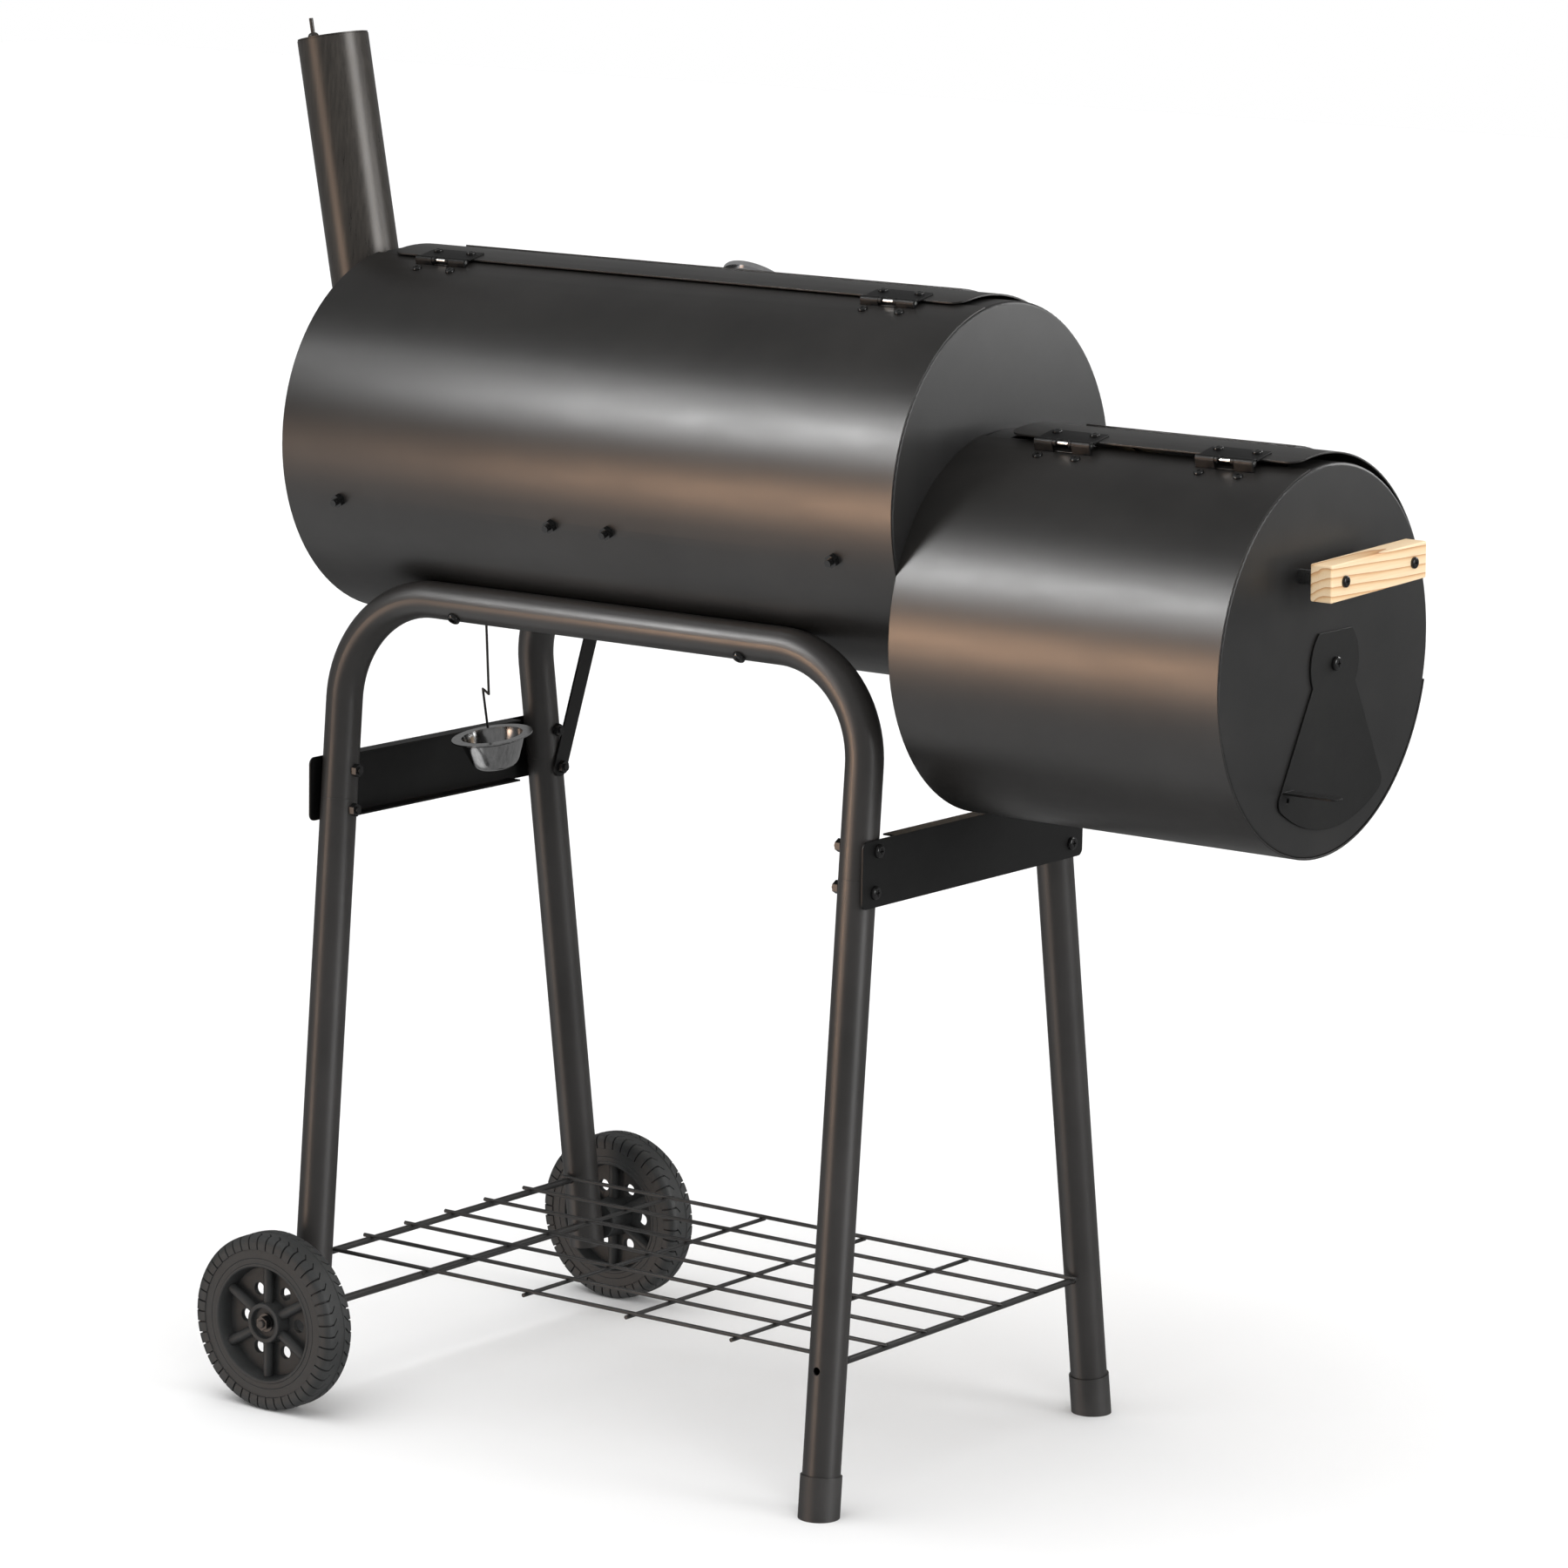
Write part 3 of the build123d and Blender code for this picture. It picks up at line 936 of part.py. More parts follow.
# ---------------------------------------------------------------- air vent and grease cup
def make_vent():
    turn = radians(VENT_HALF_DEG)
    side = Vector(sin(turn), -cos(turn))
    off = Vector(cos(turn), sin(turn)) * VENT_SIDE_OFF
    far = off + side * (VENT_TAIL_R * 1.4)
    wedge = make_face(Polyline((off.X, off.Y), (far.X, far.Y), (-far.X, far.Y), (-off.X, off.Y), close=True))
    tail = wedge & Circle(VENT_TAIL_R)
    wide = sorted(tail.vertices(), key=lambda v: abs(v.X))[-2:]
    tail = fillet(wide, 9)
    head = Circle(VENT_HEAD_R) & (Pos(0, VENT_FLAT_UP - 100) * Rectangle(200, 200))
    outline = head + tail - Circle(BOLT_R + FIT)
    x = -FIREBOX_L - VENT_PLAY
    plane = Plane(origin=(x, *vent_pivot[1:]), x_dir=(0, 1, 0), z_dir=(1, 0, 0))
    plate = extrude(plane * outline, amount=-VENT_T)
    tab_y, tab_z = vent_pivot[1] + VENT_TAB_OUT, vent_pivot[2] - VENT_TAB_DOWN
    stop = (tab_y + VENT_TAB_W / 2, tab_z - 3 * VENT_STOP_R)
    plate -= rod((x - 2 * VENT_T, *stop), (x + VENT_T, *stop), VENT_STOP_R)
    tab = box((x - VENT_TAB, x), (tab_y, tab_y + VENT_TAB_W), (tab_z - VENT_T / 2, tab_z + VENT_T / 2))
    ends = tab.edges().filter_by(Axis.Z).group_by(Axis.X)[0]
    nodes["air_vent"] = plate + fillet(ends, 6)
    seat = (x - VENT_T - VENT_PLAY, *vent_pivot[1:])
    length = VENT_T + 2 * VENT_PLAY + SHEET + NUT_T + 2
    nodes["vent_pivot_screw"] = pan_screw(seat, (-1, 0, 0), BOLT_R, length, BOLT_HEAD_R, BOLT_HEAD_T)


def make_grease_cup():
    inside = CUP_MOUTH_R - CUP_T
    outer = Spline((CUP_FLOOR_R, 0), (CUP_MOUTH_R - 5, CUP_H * 0.4), (CUP_MOUTH_R, CUP_H - CUP_T),
                   tangents=[(1, 0.35), (0.12, 1)])
    inner = Spline((CUP_FLOOR_R, CUP_T), (CUP_MOUTH_R - 5 - CUP_T, CUP_H * 0.4 + 0.4), (inside, CUP_H),
                   tangents=[(1, 0.35), (0.12, 1)])
    edge = Polyline((CUP_MOUTH_R, CUP_H - CUP_T), (CUP_R, CUP_H - CUP_T), (CUP_R, CUP_H), (inside, CUP_H))
    floor = Polyline((CUP_FLOOR_R, CUP_T), (0, CUP_T), (0, 0), (CUP_FLOOR_R, 0))
    face = make_face([outer, *edge.edges(), inner, *floor.edges()])
    cup = revolve(Plane.XZ * face, axis=Axis.Z)
    nodes["grease_cup"] = cup_place * Pos(0, 0, -CUP_H) * cup


cup_place = Pos(CUP_X, 0, CUP_RIM_Z) * Rot(*CUP_TILT, 0)
hook_point = (HOOK_X, 0, BARREL_Z - BARREL_R + SHEET + HOOK_R + 0.3)


def make_hanger():
    """A wire whose bent top end lies inside the barrel, a kink, and a ring that the cup's lip rests on."""
    kink = [(HOOK_X - KINK, 0, KINK_Z - KINK), (HOOK_X + KINK * 0.7, 0, KINK_Z)]
    top = [(HOOK_X + 12, 0, hook_point[2]), hook_point, *kink]
    ring_r = CUP_MOUTH_R + HOOK_R + 0.2
    ring_z = -CUP_T - HOOK_R
    turn = radians(CUP_RING_DEG)
    inner, outer = [cup_place * Pos(r * cos(turn), r * sin(turn), ring_z) for r in (ring_r, CUP_RING_OUT)]
    low = [kink[1], tuple(outer.position), tuple(inner.position)]
    pieces = [rod(a, b, HOOK_R) for line in (top, low) for a, b in zip(line, line[1:])]
    pieces += [Pos(*point) * Sphere(HOOK_R) for point in top + low[1:2]]
    ring = cup_place * Pos(0, 0, ring_z) * Torus(ring_r, HOOK_R)
    return pieces[0].fuse(*pieces[1:], ring)


# ---------------------------------------------------------------- build, move to the shared origin, write
make_barrel()
make_firebox()
make_lids()
make_hinges()
make_handles()
make_thermometer()
make_chimney()
make_rails_and_grates()
make_stand()
make_panels()
make_wheels()
make_wire_shelf()
make_front_shelf()
make_fasteners()
make_vent()
make_grease_cup()
nodes["grease_hanger"] = make_hanger()

boxes = [node.bounding_box() for node in nodes.values()]
low = [min(getattr(b.min, a) for b in boxes) for a in "XYZ"]
high = [max(getattr(b.max, a) for b in boxes) for a in "XYZ"]
move = (-(low[0] + high[0]) / 2, -(low[1] + high[1]) / 2, -low[2])

os.makedirs("parts", exist_ok=True)
for name, node in nodes.items():
    export_step(Pos(*move) * node, f"parts/{name}.step")

pin = pin_radius(BARREL_R, LID_GAP)
firebox_pin = pin_radius(FIREBOX_R, FIREBOX_LID_GAP)
pivots = {
    "main_lid": around(MID_X, pin, PIN_DEG, BARREL_Z),
    "firebox_lid": around(firebox_hinge_mid, firebox_pin, PIN_DEG, FIREBOX_Z),
    "needle": thermo_seat,
    "air_vent": vent_pivot,
    "chimney_flap": tuple(pipe_top + flap_plane.x_dir * FLAP_PIN_OUT),
    "wheels": (AXLE_X, 0, AXLE_Z),
    "grease_cup": hook_point,
}
print("size", [round(h - l, 1) for l, h in zip(low, high)], "move", [round(v, 3) for v in move])
for name, point in pivots.items():
    print(name, [round(a + b, 3) for a, b in zip(point, move)])
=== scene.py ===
import bpy
import bmesh
import json
from math import cos, pi, radians, sin
from mathutils import Matrix, Vector


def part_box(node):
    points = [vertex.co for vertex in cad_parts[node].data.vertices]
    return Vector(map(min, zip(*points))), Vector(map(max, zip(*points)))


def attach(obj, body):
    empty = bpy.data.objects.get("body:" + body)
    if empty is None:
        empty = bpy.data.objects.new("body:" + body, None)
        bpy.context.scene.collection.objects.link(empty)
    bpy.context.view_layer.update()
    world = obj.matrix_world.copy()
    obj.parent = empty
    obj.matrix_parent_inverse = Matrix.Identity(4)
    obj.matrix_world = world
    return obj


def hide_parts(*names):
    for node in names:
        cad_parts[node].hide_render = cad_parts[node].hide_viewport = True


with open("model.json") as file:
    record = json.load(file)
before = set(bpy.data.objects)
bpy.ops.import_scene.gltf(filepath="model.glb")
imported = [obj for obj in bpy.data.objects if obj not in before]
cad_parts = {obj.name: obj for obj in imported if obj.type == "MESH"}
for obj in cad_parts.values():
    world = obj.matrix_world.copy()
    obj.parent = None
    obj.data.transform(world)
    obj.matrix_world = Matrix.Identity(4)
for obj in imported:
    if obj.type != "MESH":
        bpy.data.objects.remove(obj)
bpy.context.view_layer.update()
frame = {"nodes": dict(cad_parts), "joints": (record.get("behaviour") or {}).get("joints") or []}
nodes = frame["nodes"]
MM = 0.001


def put(name, data):
    """Makes an object of some data and links it to the scene."""
    thing = bpy.data.objects.new(name, data)
    bpy.context.scene.collection.objects.link(thing)
    return thing


# ------------------------------------------------------------------ camera
AIM = Vector((0.0218, 0.0644, 0.56094))
AZIMUTH, ELEVATION, ROLL = radians(216.2), radians(10.26), radians(1.03)
DISTANCE = 5.2005
LENS = 140.4
SENSOR = 36.0
VIEW_DEPTH = 50


def aim_camera():
    """A long lens, a little above the barrel, looking at the hinge side past the firebox."""
    back = Vector((sin(AZIMUTH) * cos(ELEVATION), -cos(AZIMUTH) * cos(ELEVATION), sin(ELEVATION)))
    right = (-back).cross(Vector((0, 0, 1))).normalized()
    up = right.cross(-back)
    right, up = right * cos(ROLL) + up * sin(ROLL), up * cos(ROLL) - right * sin(ROLL)
    data = bpy.data.cameras.new("camera")
    data.lens = LENS
    data.sensor_width = SENSOR
    data.clip_end = VIEW_DEPTH
    camera = put("camera", data)
    turn = Matrix((right, up, back)).transposed().to_4x4()
    camera.matrix_world = Matrix.Translation(AIM + back * DISTANCE) @ turn
    bpy.context.scene.camera = camera


aim_camera()


# ------------------------------------------------------------------ material helpers
NOISE_LOW, NOISE_HIGH = 0.25, 0.75      # a noise's values nearly all lie between these
SHADE_LOW, SHADE_HIGH = 0.3, 0.7        # where a noise turns from the darkest colour to the lightest
EDGE_ROUND = 0.9 * MM
EDGE_SAMPLES = 4


class Graph:
    """Short names for the nodes that the materials are made of."""

    def __init__(self, name):
        self.material = bpy.data.materials.new(name)
        self.material.use_nodes = True
        self.tree = self.material.node_tree
        self.shader = self.tree.nodes["Principled BSDF"]
        self.place = self.new("ShaderNodeTexCoord").outputs["Object"]

    def new(self, kind, **settings):
        node = self.tree.nodes.new(kind)
        for key, value in settings.items():
            setattr(node, key, value)
        return node

    def link(self, source, socket):
        if isinstance(source, (int, float, tuple)):
            socket.default_value = source
        else:
            self.tree.links.new(source, socket)

    def fixed(self, **values):
        """Values that are the same all over, on the shader's own sockets."""
        for key, value in values.items():
            self.shader.inputs[key.replace("_", " ")].default_value = value

    def stretched(self, scale, offset=(0, 0, 0)):
        node = self.new("ShaderNodeMapping")
        self.link(self.place, node.inputs["Vector"])
        node.inputs["Scale"].default_value = scale
        node.inputs["Location"].default_value = offset
        return node.outputs["Vector"]

    def noise(self, vector, scale, detail=3.0, rough=0.5):
        node = self.new("ShaderNodeTexNoise")
        self.link(vector, node.inputs["Vector"])
        node.inputs["Scale"].default_value = scale
        node.inputs["Detail"].default_value = detail
        node.inputs["Roughness"].default_value = rough
        return node.outputs["Fac"]

    def math(self, kind, a, b=0.0):
        node = self.new("ShaderNodeMath", operation=kind)
        self.link(a, node.inputs[0])
        self.link(b, node.inputs[1])
        return node.outputs[0]

    def span(self, value, low, high):
        """Spreads a noise over low to high."""
        node = self.new("ShaderNodeMapRange")
        self.link(value, node.inputs["Value"])
        node.inputs["From Min"].default_value = NOISE_LOW
        node.inputs["From Max"].default_value = NOISE_HIGH
        node.inputs["To Min"].default_value = low
        node.inputs["To Max"].default_value = high
        return node.outputs["Result"]

    def ramp(self, value, stops):
        node = self.new("ShaderNodeValToRGB")
        self.link(value, node.inputs["Fac"])
        ramp = node.color_ramp
        while len(ramp.elements) < len(stops):
            ramp.elements.new(0.5)
        for element, (place, colour) in zip(ramp.elements, stops):
            element.position = place
            element.color = (*colour, 1.0)
        return node.outputs["Color"]

    def shades(self, value, dark, light):
        return self.ramp(value, [(SHADE_LOW, dark), (SHADE_HIGH, light)])

    def bump(self, height, distance, strength=1.0, under=None):
        node = self.new("ShaderNodeBump")
        self.link(height, node.inputs["Height"])
        node.inputs["Distance"].default_value = distance * MM
        node.inputs["Strength"].default_value = strength
        if under is not None:
            self.link(under, node.inputs["Normal"])
        return node.outputs["Normal"]

    def worn_edge(self):
        """Edges shine as if they were rounded a little."""
        node = self.new("ShaderNodeBevel", samples=EDGE_SAMPLES)
        node.inputs["Radius"].default_value = EDGE_ROUND
        return node.outputs["Normal"]

    def colour(self, source):
        self.link(source, self.shader.inputs["Base Color"])

    def rough(self, source):
        self.link(source, self.shader.inputs["Roughness"])

    def normal(self, source):
        self.link(source, self.shader.inputs["Normal"])

    def xyz(self):
        node = self.new("ShaderNodeSeparateXYZ")
        self.link(self.place, node.inputs[0])
        return node.outputs


# Noise scales are in 1/m and bump heights in mm. A noise's last two values are its detail and roughness.
COAT_BLOTCH = 9.0
COAT_SMEAR, COAT_SMEAR_SCALE = (2, 7, 7), 6.0
COAT_PEEL_GLOSS = 0.02
COAT_BUMP = 0.6
GLAZE_ROUGH = 0.22


def powder_coat(name, dark, light, rough, grain, bump, glaze=0.0, specular=0.5):
    """Baked paint: slow changes of tone and gloss, a fine orange peel, and edges worn round."""
    g = Graph(name)
    slow = g.noise(g.place, COAT_BLOTCH, 4.0, 0.6)
    g.colour(g.shades(slow, dark, light))
    fine = g.noise(g.place, grain, 3.0, 0.6)
    smear = g.noise(g.stretched(COAT_SMEAR), COAT_SMEAR_SCALE, 5.0, 0.65)
    g.rough(g.math("ADD", g.span(smear, *rough), g.span(fine, -COAT_PEEL_GLOSS, COAT_PEEL_GLOSS)))
    g.normal(g.bump(fine, bump, COAT_BUMP, g.worn_edge()))
    g.fixed(Specular_IOR_Level=specular)
    if glaze:
        g.fixed(Coat_Weight=glaze, Coat_Roughness=GLAZE_ROUGH)
    return g.material


STEEL_CLOUD = 14.0
STEEL_CLOUD_GLOSS = (-0.03, 0.05)
STEEL_BUMP = 0.5


def streaked_steel(name, dark, light, rough, stretch, scale, metallic, bump):
    """Rolled or polished metal with fine lines along one way."""
    g = Graph(name)
    lines = g.noise(g.stretched(stretch), scale, 4.0, 0.65)
    slow = g.noise(g.place, STEEL_CLOUD)
    g.colour(g.shades(lines, dark, light))
    g.rough(g.math("ADD", g.span(lines, *rough), g.span(slow, *STEEL_CLOUD_GLOSS)))
    g.normal(g.bump(lines, bump, STEEL_BUMP))
    g.fixed(Metallic=metallic)
    return g.material


PLASTIC_CLOUD = 30.0
PLASTIC_GRAIN_GLOSS, PLASTIC_CLOUD_GLOSS = 0.05, 0.04
PLASTIC_GRAIN_HEIGHT, PLASTIC_BUMP = 0.12, 0.7


def moulded_plastic(name, dark, light, rough, grain):
    """Plastic or thick paint with a fine grain and slow changes of tone and gloss."""
    g = Graph(name)
    fine = g.noise(g.place, grain, 4.0, 0.7)
    slow = g.noise(g.place, PLASTIC_CLOUD)
    g.colour(g.shades(slow, dark, light))
    grain_gloss = g.span(fine, rough - PLASTIC_GRAIN_GLOSS, rough + PLASTIC_GRAIN_GLOSS)
    g.rough(g.math("ADD", grain_gloss, g.span(slow, -PLASTIC_CLOUD_GLOSS, PLASTIC_CLOUD_GLOSS)))
    g.normal(g.bump(fine, PLASTIC_GRAIN_HEIGHT, PLASTIC_BUMP))
    return g.material


GLASS_SMEAR = 90.0
GLASS_ROUGH = (0.01, 0.05)
GLASS_TINTS = (0.96, 0.98, 0.98), (1.0, 1.0, 1.0)
GLASS_IOR = 1.45


def clear_glass(name):
    """Thin glass with faint smears."""
    g = Graph(name)
    haze = g.noise(g.place, GLASS_SMEAR)
    g.rough(g.span(haze, *GLASS_ROUGH))
    g.colour(g.shades(haze, *GLASS_TINTS))
    g.fixed(Transmission_Weight=1.0, IOR=GLASS_IOR)
    return g.material


RING_PITCH = 7.2 * MM
RING_BEND = 0.03               # how far the slow noise moves the rings
RING_SWAY = 0.0012             # and the quicker one
BEND_SCALE, SWAY_SCALE = 18.0, 60.0
GRAIN_PULL, FIBRE_PULL = 0.07, 0.035
SWAY_FROM = (3.1, 1.7, 5.3)
BOARD_TURN = 2.3               # makes the heart line jump from board to board
LATE_WOOD = 2.2                # how narrow the dark part of a ring is
WOOD_SHADES = [(0.0, (0.76, 0.585, 0.38)), (0.45, (0.705, 0.505, 0.295)), (0.78, (0.58, 0.34, 0.162)),
               (0.97, (0.44, 0.21, 0.086))]
TONE_SCALE, TONE_SHARE = 7.0, (0.1, 0.5)
PORE_SCALE = 900.0
PORE_SHADES = [(0.3, (0.78, 0.72, 0.64)), (0.6, (1.0, 1.0, 1.0))]
WOOD_ROUGH = (0.62, 0.48)
PORE_DEPTH, PORE_BUMP = 0.2, 0.5
RING_HEIGHT, RING_BUMP = 0.3, 0.25


def drawn_out(along, share):
    """Scales that draw a pattern out along one axis."""
    return tuple(share if i == along else 1.0 for i in range(3))


def pine(name, along, heart, board=None):
    """Pine sawn along one axis: growth rings round a heart line, wavy grain and pores."""
    g = Graph(name)
    grain = drawn_out(along, GRAIN_PULL)
    flow = g.noise(g.stretched(grain), BEND_SCALE, 3.0, 0.55)
    sway = g.noise(g.stretched(grain, SWAY_FROM), SWAY_SCALE, 2.0)
    bend = g.math("MULTIPLY", g.math("SUBTRACT", flow, 0.5), RING_BEND)
    axes = g.xyz()
    across = [i for i in range(3) if i != along]
    squares = []
    for i, centre in zip(across, heart):
        moved = g.math("SUBTRACT", axes[i], centre)
        if board:
            pitch, jump = board
            number = g.math("FLOOR", g.math("DIVIDE", axes[1], pitch))
            shift = g.math("SINE", g.math("MULTIPLY", number, BOARD_TURN))
            moved = g.math("ADD", moved, g.math("MULTIPLY", shift, jump))
        moved = g.math("ADD", moved, bend)
        squares.append(g.math("MULTIPLY", moved, moved))
    reach = g.math("ADD", g.math("SQRT", g.math("ADD", *squares)), g.math("MULTIPLY", sway, RING_SWAY))
    late = g.math("POWER", g.math("FRACT", g.math("DIVIDE", reach, RING_PITCH)), LATE_WOOD)
    pores = g.noise(g.stretched(drawn_out(along, FIBRE_PULL)), PORE_SCALE, 2.0, 0.6)
    tint = g.new("ShaderNodeMix", data_type="RGBA", blend_type="MULTIPLY")
    share, below, above = tint.inputs[0], tint.inputs[6], tint.inputs[7]
    g.link(g.span(g.noise(g.place, TONE_SCALE), *TONE_SHARE), share)
    g.link(g.ramp(late, WOOD_SHADES), below)
    g.link(g.ramp(pores, PORE_SHADES), above)
    g.colour(tint.outputs[2])
    g.rough(g.span(pores, *WOOD_ROUGH))
    g.normal(g.bump(late, RING_HEIGHT, RING_BUMP, g.bump(pores, PORE_DEPTH, PORE_BUMP)))
    return g.material


# ------------------------------------------------------------------ materials
POWDER_COATS = {        # look: name, darkest and lightest colour, roughness, grain, bump, glaze, specular level
    "barrel": ("black_powder_coat", (0.010, 0.0095, 0.009), (0.017, 0.016, 0.015), (0.33, 0.39), 1500, 0.03),
    "cap": ("black_cap_coat", (0.009, 0.009, 0.009), (0.015, 0.0145, 0.014), (0.36, 0.43), 1300, 0.05),
    "lid": ("black_lid_coat", (0.011, 0.0105, 0.010), (0.018, 0.017, 0.016), (0.34, 0.41), 1500, 0.03),
    # panel: the same black powder coat, its colours made far darker than the other coats as painted shade for
    # the cross panels under the barrel; the hinge leaves, shelf brackets and braces get this painted shade too
    "panel": ("black_panel_coat", (0.0025, 0.0025, 0.0025), (0.005, 0.005, 0.005), (0.42, 0.52), 1100, 0.06,
              0.0, 0.30),
    "vent": ("black_vent_coat", (0.004, 0.004, 0.004), (0.008, 0.008, 0.0075), (0.44, 0.54), 1300, 0.05,
             0.0, 0.34),
    "tube": ("black_tube_coat", (0.018, 0.017, 0.016), (0.028, 0.026, 0.025), (0.34, 0.42), 1200, 0.04),
    "wire": ("black_wire_coat", (0.012, 0.012, 0.012), (0.022, 0.021, 0.02), (0.36, 0.48), 1800, 0.06),
    "enamel": ("black_enamel", (0.012, 0.012, 0.013), (0.02, 0.02, 0.021), (0.18, 0.30), 700, 0.08, 0.5),
    "inside": ("inside_coat", (0.012, 0.011, 0.010), (0.030, 0.026, 0.022), (0.50, 0.62), 600, 0.1),
}
STEELS = {              # look: name, darkest and lightest colour, roughness, stretch, scale, metallic, bump
    "chimney": ("chimney_steel", (0.030, 0.027, 0.024), (0.052, 0.046, 0.040), (0.26, 0.36),
                (1, 1, 0.03), 420, 0.35, 0.03),
    "zinc": ("zinc_plate", (0.62, 0.62, 0.60), (0.80, 0.80, 0.78), (0.20, 0.34),
             (0.08, 1, 1), 700, 1.0, 0.04),
    "cup": ("spun_steel", (0.34, 0.34, 0.34), (0.50, 0.50, 0.50), (0.13, 0.22),
            (1, 1, 0.06), 300, 1.0, 0.02),
    "sleeve": ("drawn_steel", (0.22, 0.22, 0.22), (0.36, 0.36, 0.36), (0.22, 0.34),
               (1, 1, 0.06), 500, 1.0, 0.03),
    "chrome": ("chrome_bezel", (0.70, 0.70, 0.71), (0.80, 0.80, 0.81), (0.05, 0.12),
               (1, 1, 1), 200, 1.0, 0.02),
    "bolt": ("black_oxide", (0.004, 0.004, 0.004), (0.012, 0.012, 0.012), (0.14, 0.24),
             (1, 1, 1), 900, 0.1, 0.03),
}
PLASTICS = {            # look: name, darkest and lightest colour, roughness, grain
    "plastic": ("moulded_tyre_plastic", (0.021, 0.022, 0.022), (0.031, 0.032, 0.032), 0.58, 1400),
    "foot": ("moulded_foot_plastic", (0.022, 0.021, 0.020), (0.034, 0.032, 0.031), 0.5, 1100),
    "dial": ("dial_paint", (0.80, 0.80, 0.77), (0.86, 0.86, 0.83), 0.5, 400),
    "ink": ("dial_ink", (0.012, 0.012, 0.012), (0.02, 0.02, 0.02), 0.6, 400),
    "needle": ("needle_paint", (0.45, 0.03, 0.02), (0.55, 0.05, 0.03), 0.4, 400),
}
PINES = {               # look: name, axis it is sawn along, place of its heart line, its boards' pitch and jump
    "pine_end": ("pine_end_handle", 1, (-0.545, 0.765)),
    "pine_main": ("pine_main_handle", 0, (-0.10, 0.80)),
    "pine_shelf": ("pine_shelf", 0, (-0.24, 0.655), (0.066, 0.03)),
}
GLASSES = {"glass": ("gauge_glass",)}

MAT = {}
for recipe, looks in ((powder_coat, POWDER_COATS), (streaked_steel, STEELS), (moulded_plastic, PLASTICS),
                      (pine, PINES), (clear_glass, GLASSES)):
    for look, values in looks.items():
        MAT[look] = recipe(*values)

LOOKS = {
    "barrel": ["barrel_shell", "firebox_shell"],
    "cap": ["barrel_end_cap_firebox_side", "barrel_end_cap_chimney_side", "firebox_end_cap_barrel_side",
            "firebox_end_cap_outer"],
    "lid": ["main_lid", "firebox_lid"],
    "vent": ["air_vent"],
    "sleeve": ["main_lid_handle_sleeves", "firebox_lid_handle_sleeves", "end_handle_sleeves"],
    # the panel look carries painted shade: its colours are darker than the black paint itself
    "panel": ["cross_panel_foot_side", "cross_panel_wheel_side", "front_shelf_brackets",
              "front_shelf_braces", "fixed_hinge_leaves", "main_lid_hinge_leaves", "firebox_lid_hinge_leaves"],
    "tube": ["rear_frame_tube", "front_frame_tube", "rear_leg_foot_side", "rear_leg_wheel_side",
             "front_leg_foot_side", "front_leg_wheel_side", "axle"],
    "wire": ["wire_shelf", "grease_hanger"],
    "enamel": ["cooking_grate_left", "cooking_grate_right", "fire_grate"],
    "inside": ["grate_rails"],
    "chimney": ["chimney_pipe", "chimney_elbow", "chimney_flap"],
    "zinc": ["hinge_pins", "thermometer_nut"],
    "cup": ["grease_cup"],
    "chrome": ["thermometer_case"],
    "bolt": ["bolts", "nuts", "fixed_hinge_screws", "main_lid_hinge_screws", "firebox_lid_hinge_screws",
             "main_lid_handle_fasteners", "firebox_lid_handle_fasteners", "end_handle_fasteners",
             "vent_pivot_screw", "axle_nuts", "axle_washers"],
    "plastic": ["rear_wheel", "front_wheel"],
    "foot": ["foot_caps"],
    "dial": ["thermometer_dial"],
    "needle": ["thermometer_needle"],
    "glass": ["thermometer_glass"],
    "pine_end": ["end_handle_bar"],
    "pine_main": ["main_lid_handle_bar", "firebox_lid_handle_bar"],
    "pine_shelf": ["front_shelf_slats"],
}
for look, names in LOOKS.items():
    for name in names:
        slots = nodes[name].data.materials
        if not slots:
            slots.append(MAT[look])
        for i in range(len(slots)):
            slots[i] = MAT[look]


# ------------------------------------------------------------------ mesh helpers
SHARP_DEG = 32.0
CAPSULE_SIDES, CAPSULE_ROUNDS = 20, 5
CAPSULE_BULGE = 0.6            # length of its rounded end over its radius
TIP_R, WELD = 0.01 * MM, 0.02 * MM


def add_piece(name, bm, look, body):
    """Turns a bmesh into a named piece that rides on a body."""
    mesh = bpy.data.meshes.new(name)
    bm.to_mesh(mesh)
    bm.free()
    mesh.materials.clear()
    mesh.materials.append(MAT[look])
    piece = put(name, mesh)
    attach(piece, body)
    return piece


def add_curve(bm, curve, place):
    """Adds a curve's or a text's mesh at a place."""
    holder = bpy.data.objects.new(curve.name, curve)
    mesh = bpy.data.meshes.new_from_object(holder)
    mesh.transform(Matrix.Translation(place))
    bm.from_mesh(mesh)
    bpy.data.objects.remove(holder)
    bpy.data.curves.remove(curve)
    bpy.data.meshes.remove(mesh)


def smooth(bm):
    """Smooth faces, with sharp edges where they fold sharply."""
    bmesh.ops.recalc_face_normals(bm, faces=bm.faces)
    for face in bm.faces:
        face.smooth = True
    for edge in bm.edges:
        if len(edge.link_faces) == 2 and edge.calc_face_angle(0.0) > radians(SHARP_DEG):
            edge.smooth = False


def lathe(bm, profile, steps, closed=False):
    """Turns (radius, height) points round the local Z axis."""
    rings = []
    for i in range(steps):
        angle = 2 * pi * i / steps
        rings.append([bm.verts.new((r * cos(angle), r * sin(angle), h)) for r, h in profile])
    count = len(profile)
    for i in range(steps):
        a, b = rings[i], rings[(i + 1) % steps]
        for j in range(count if closed else count - 1):
            k = (j + 1) % count
            bm.faces.new((a[j], b[j], b[k], a[k]))


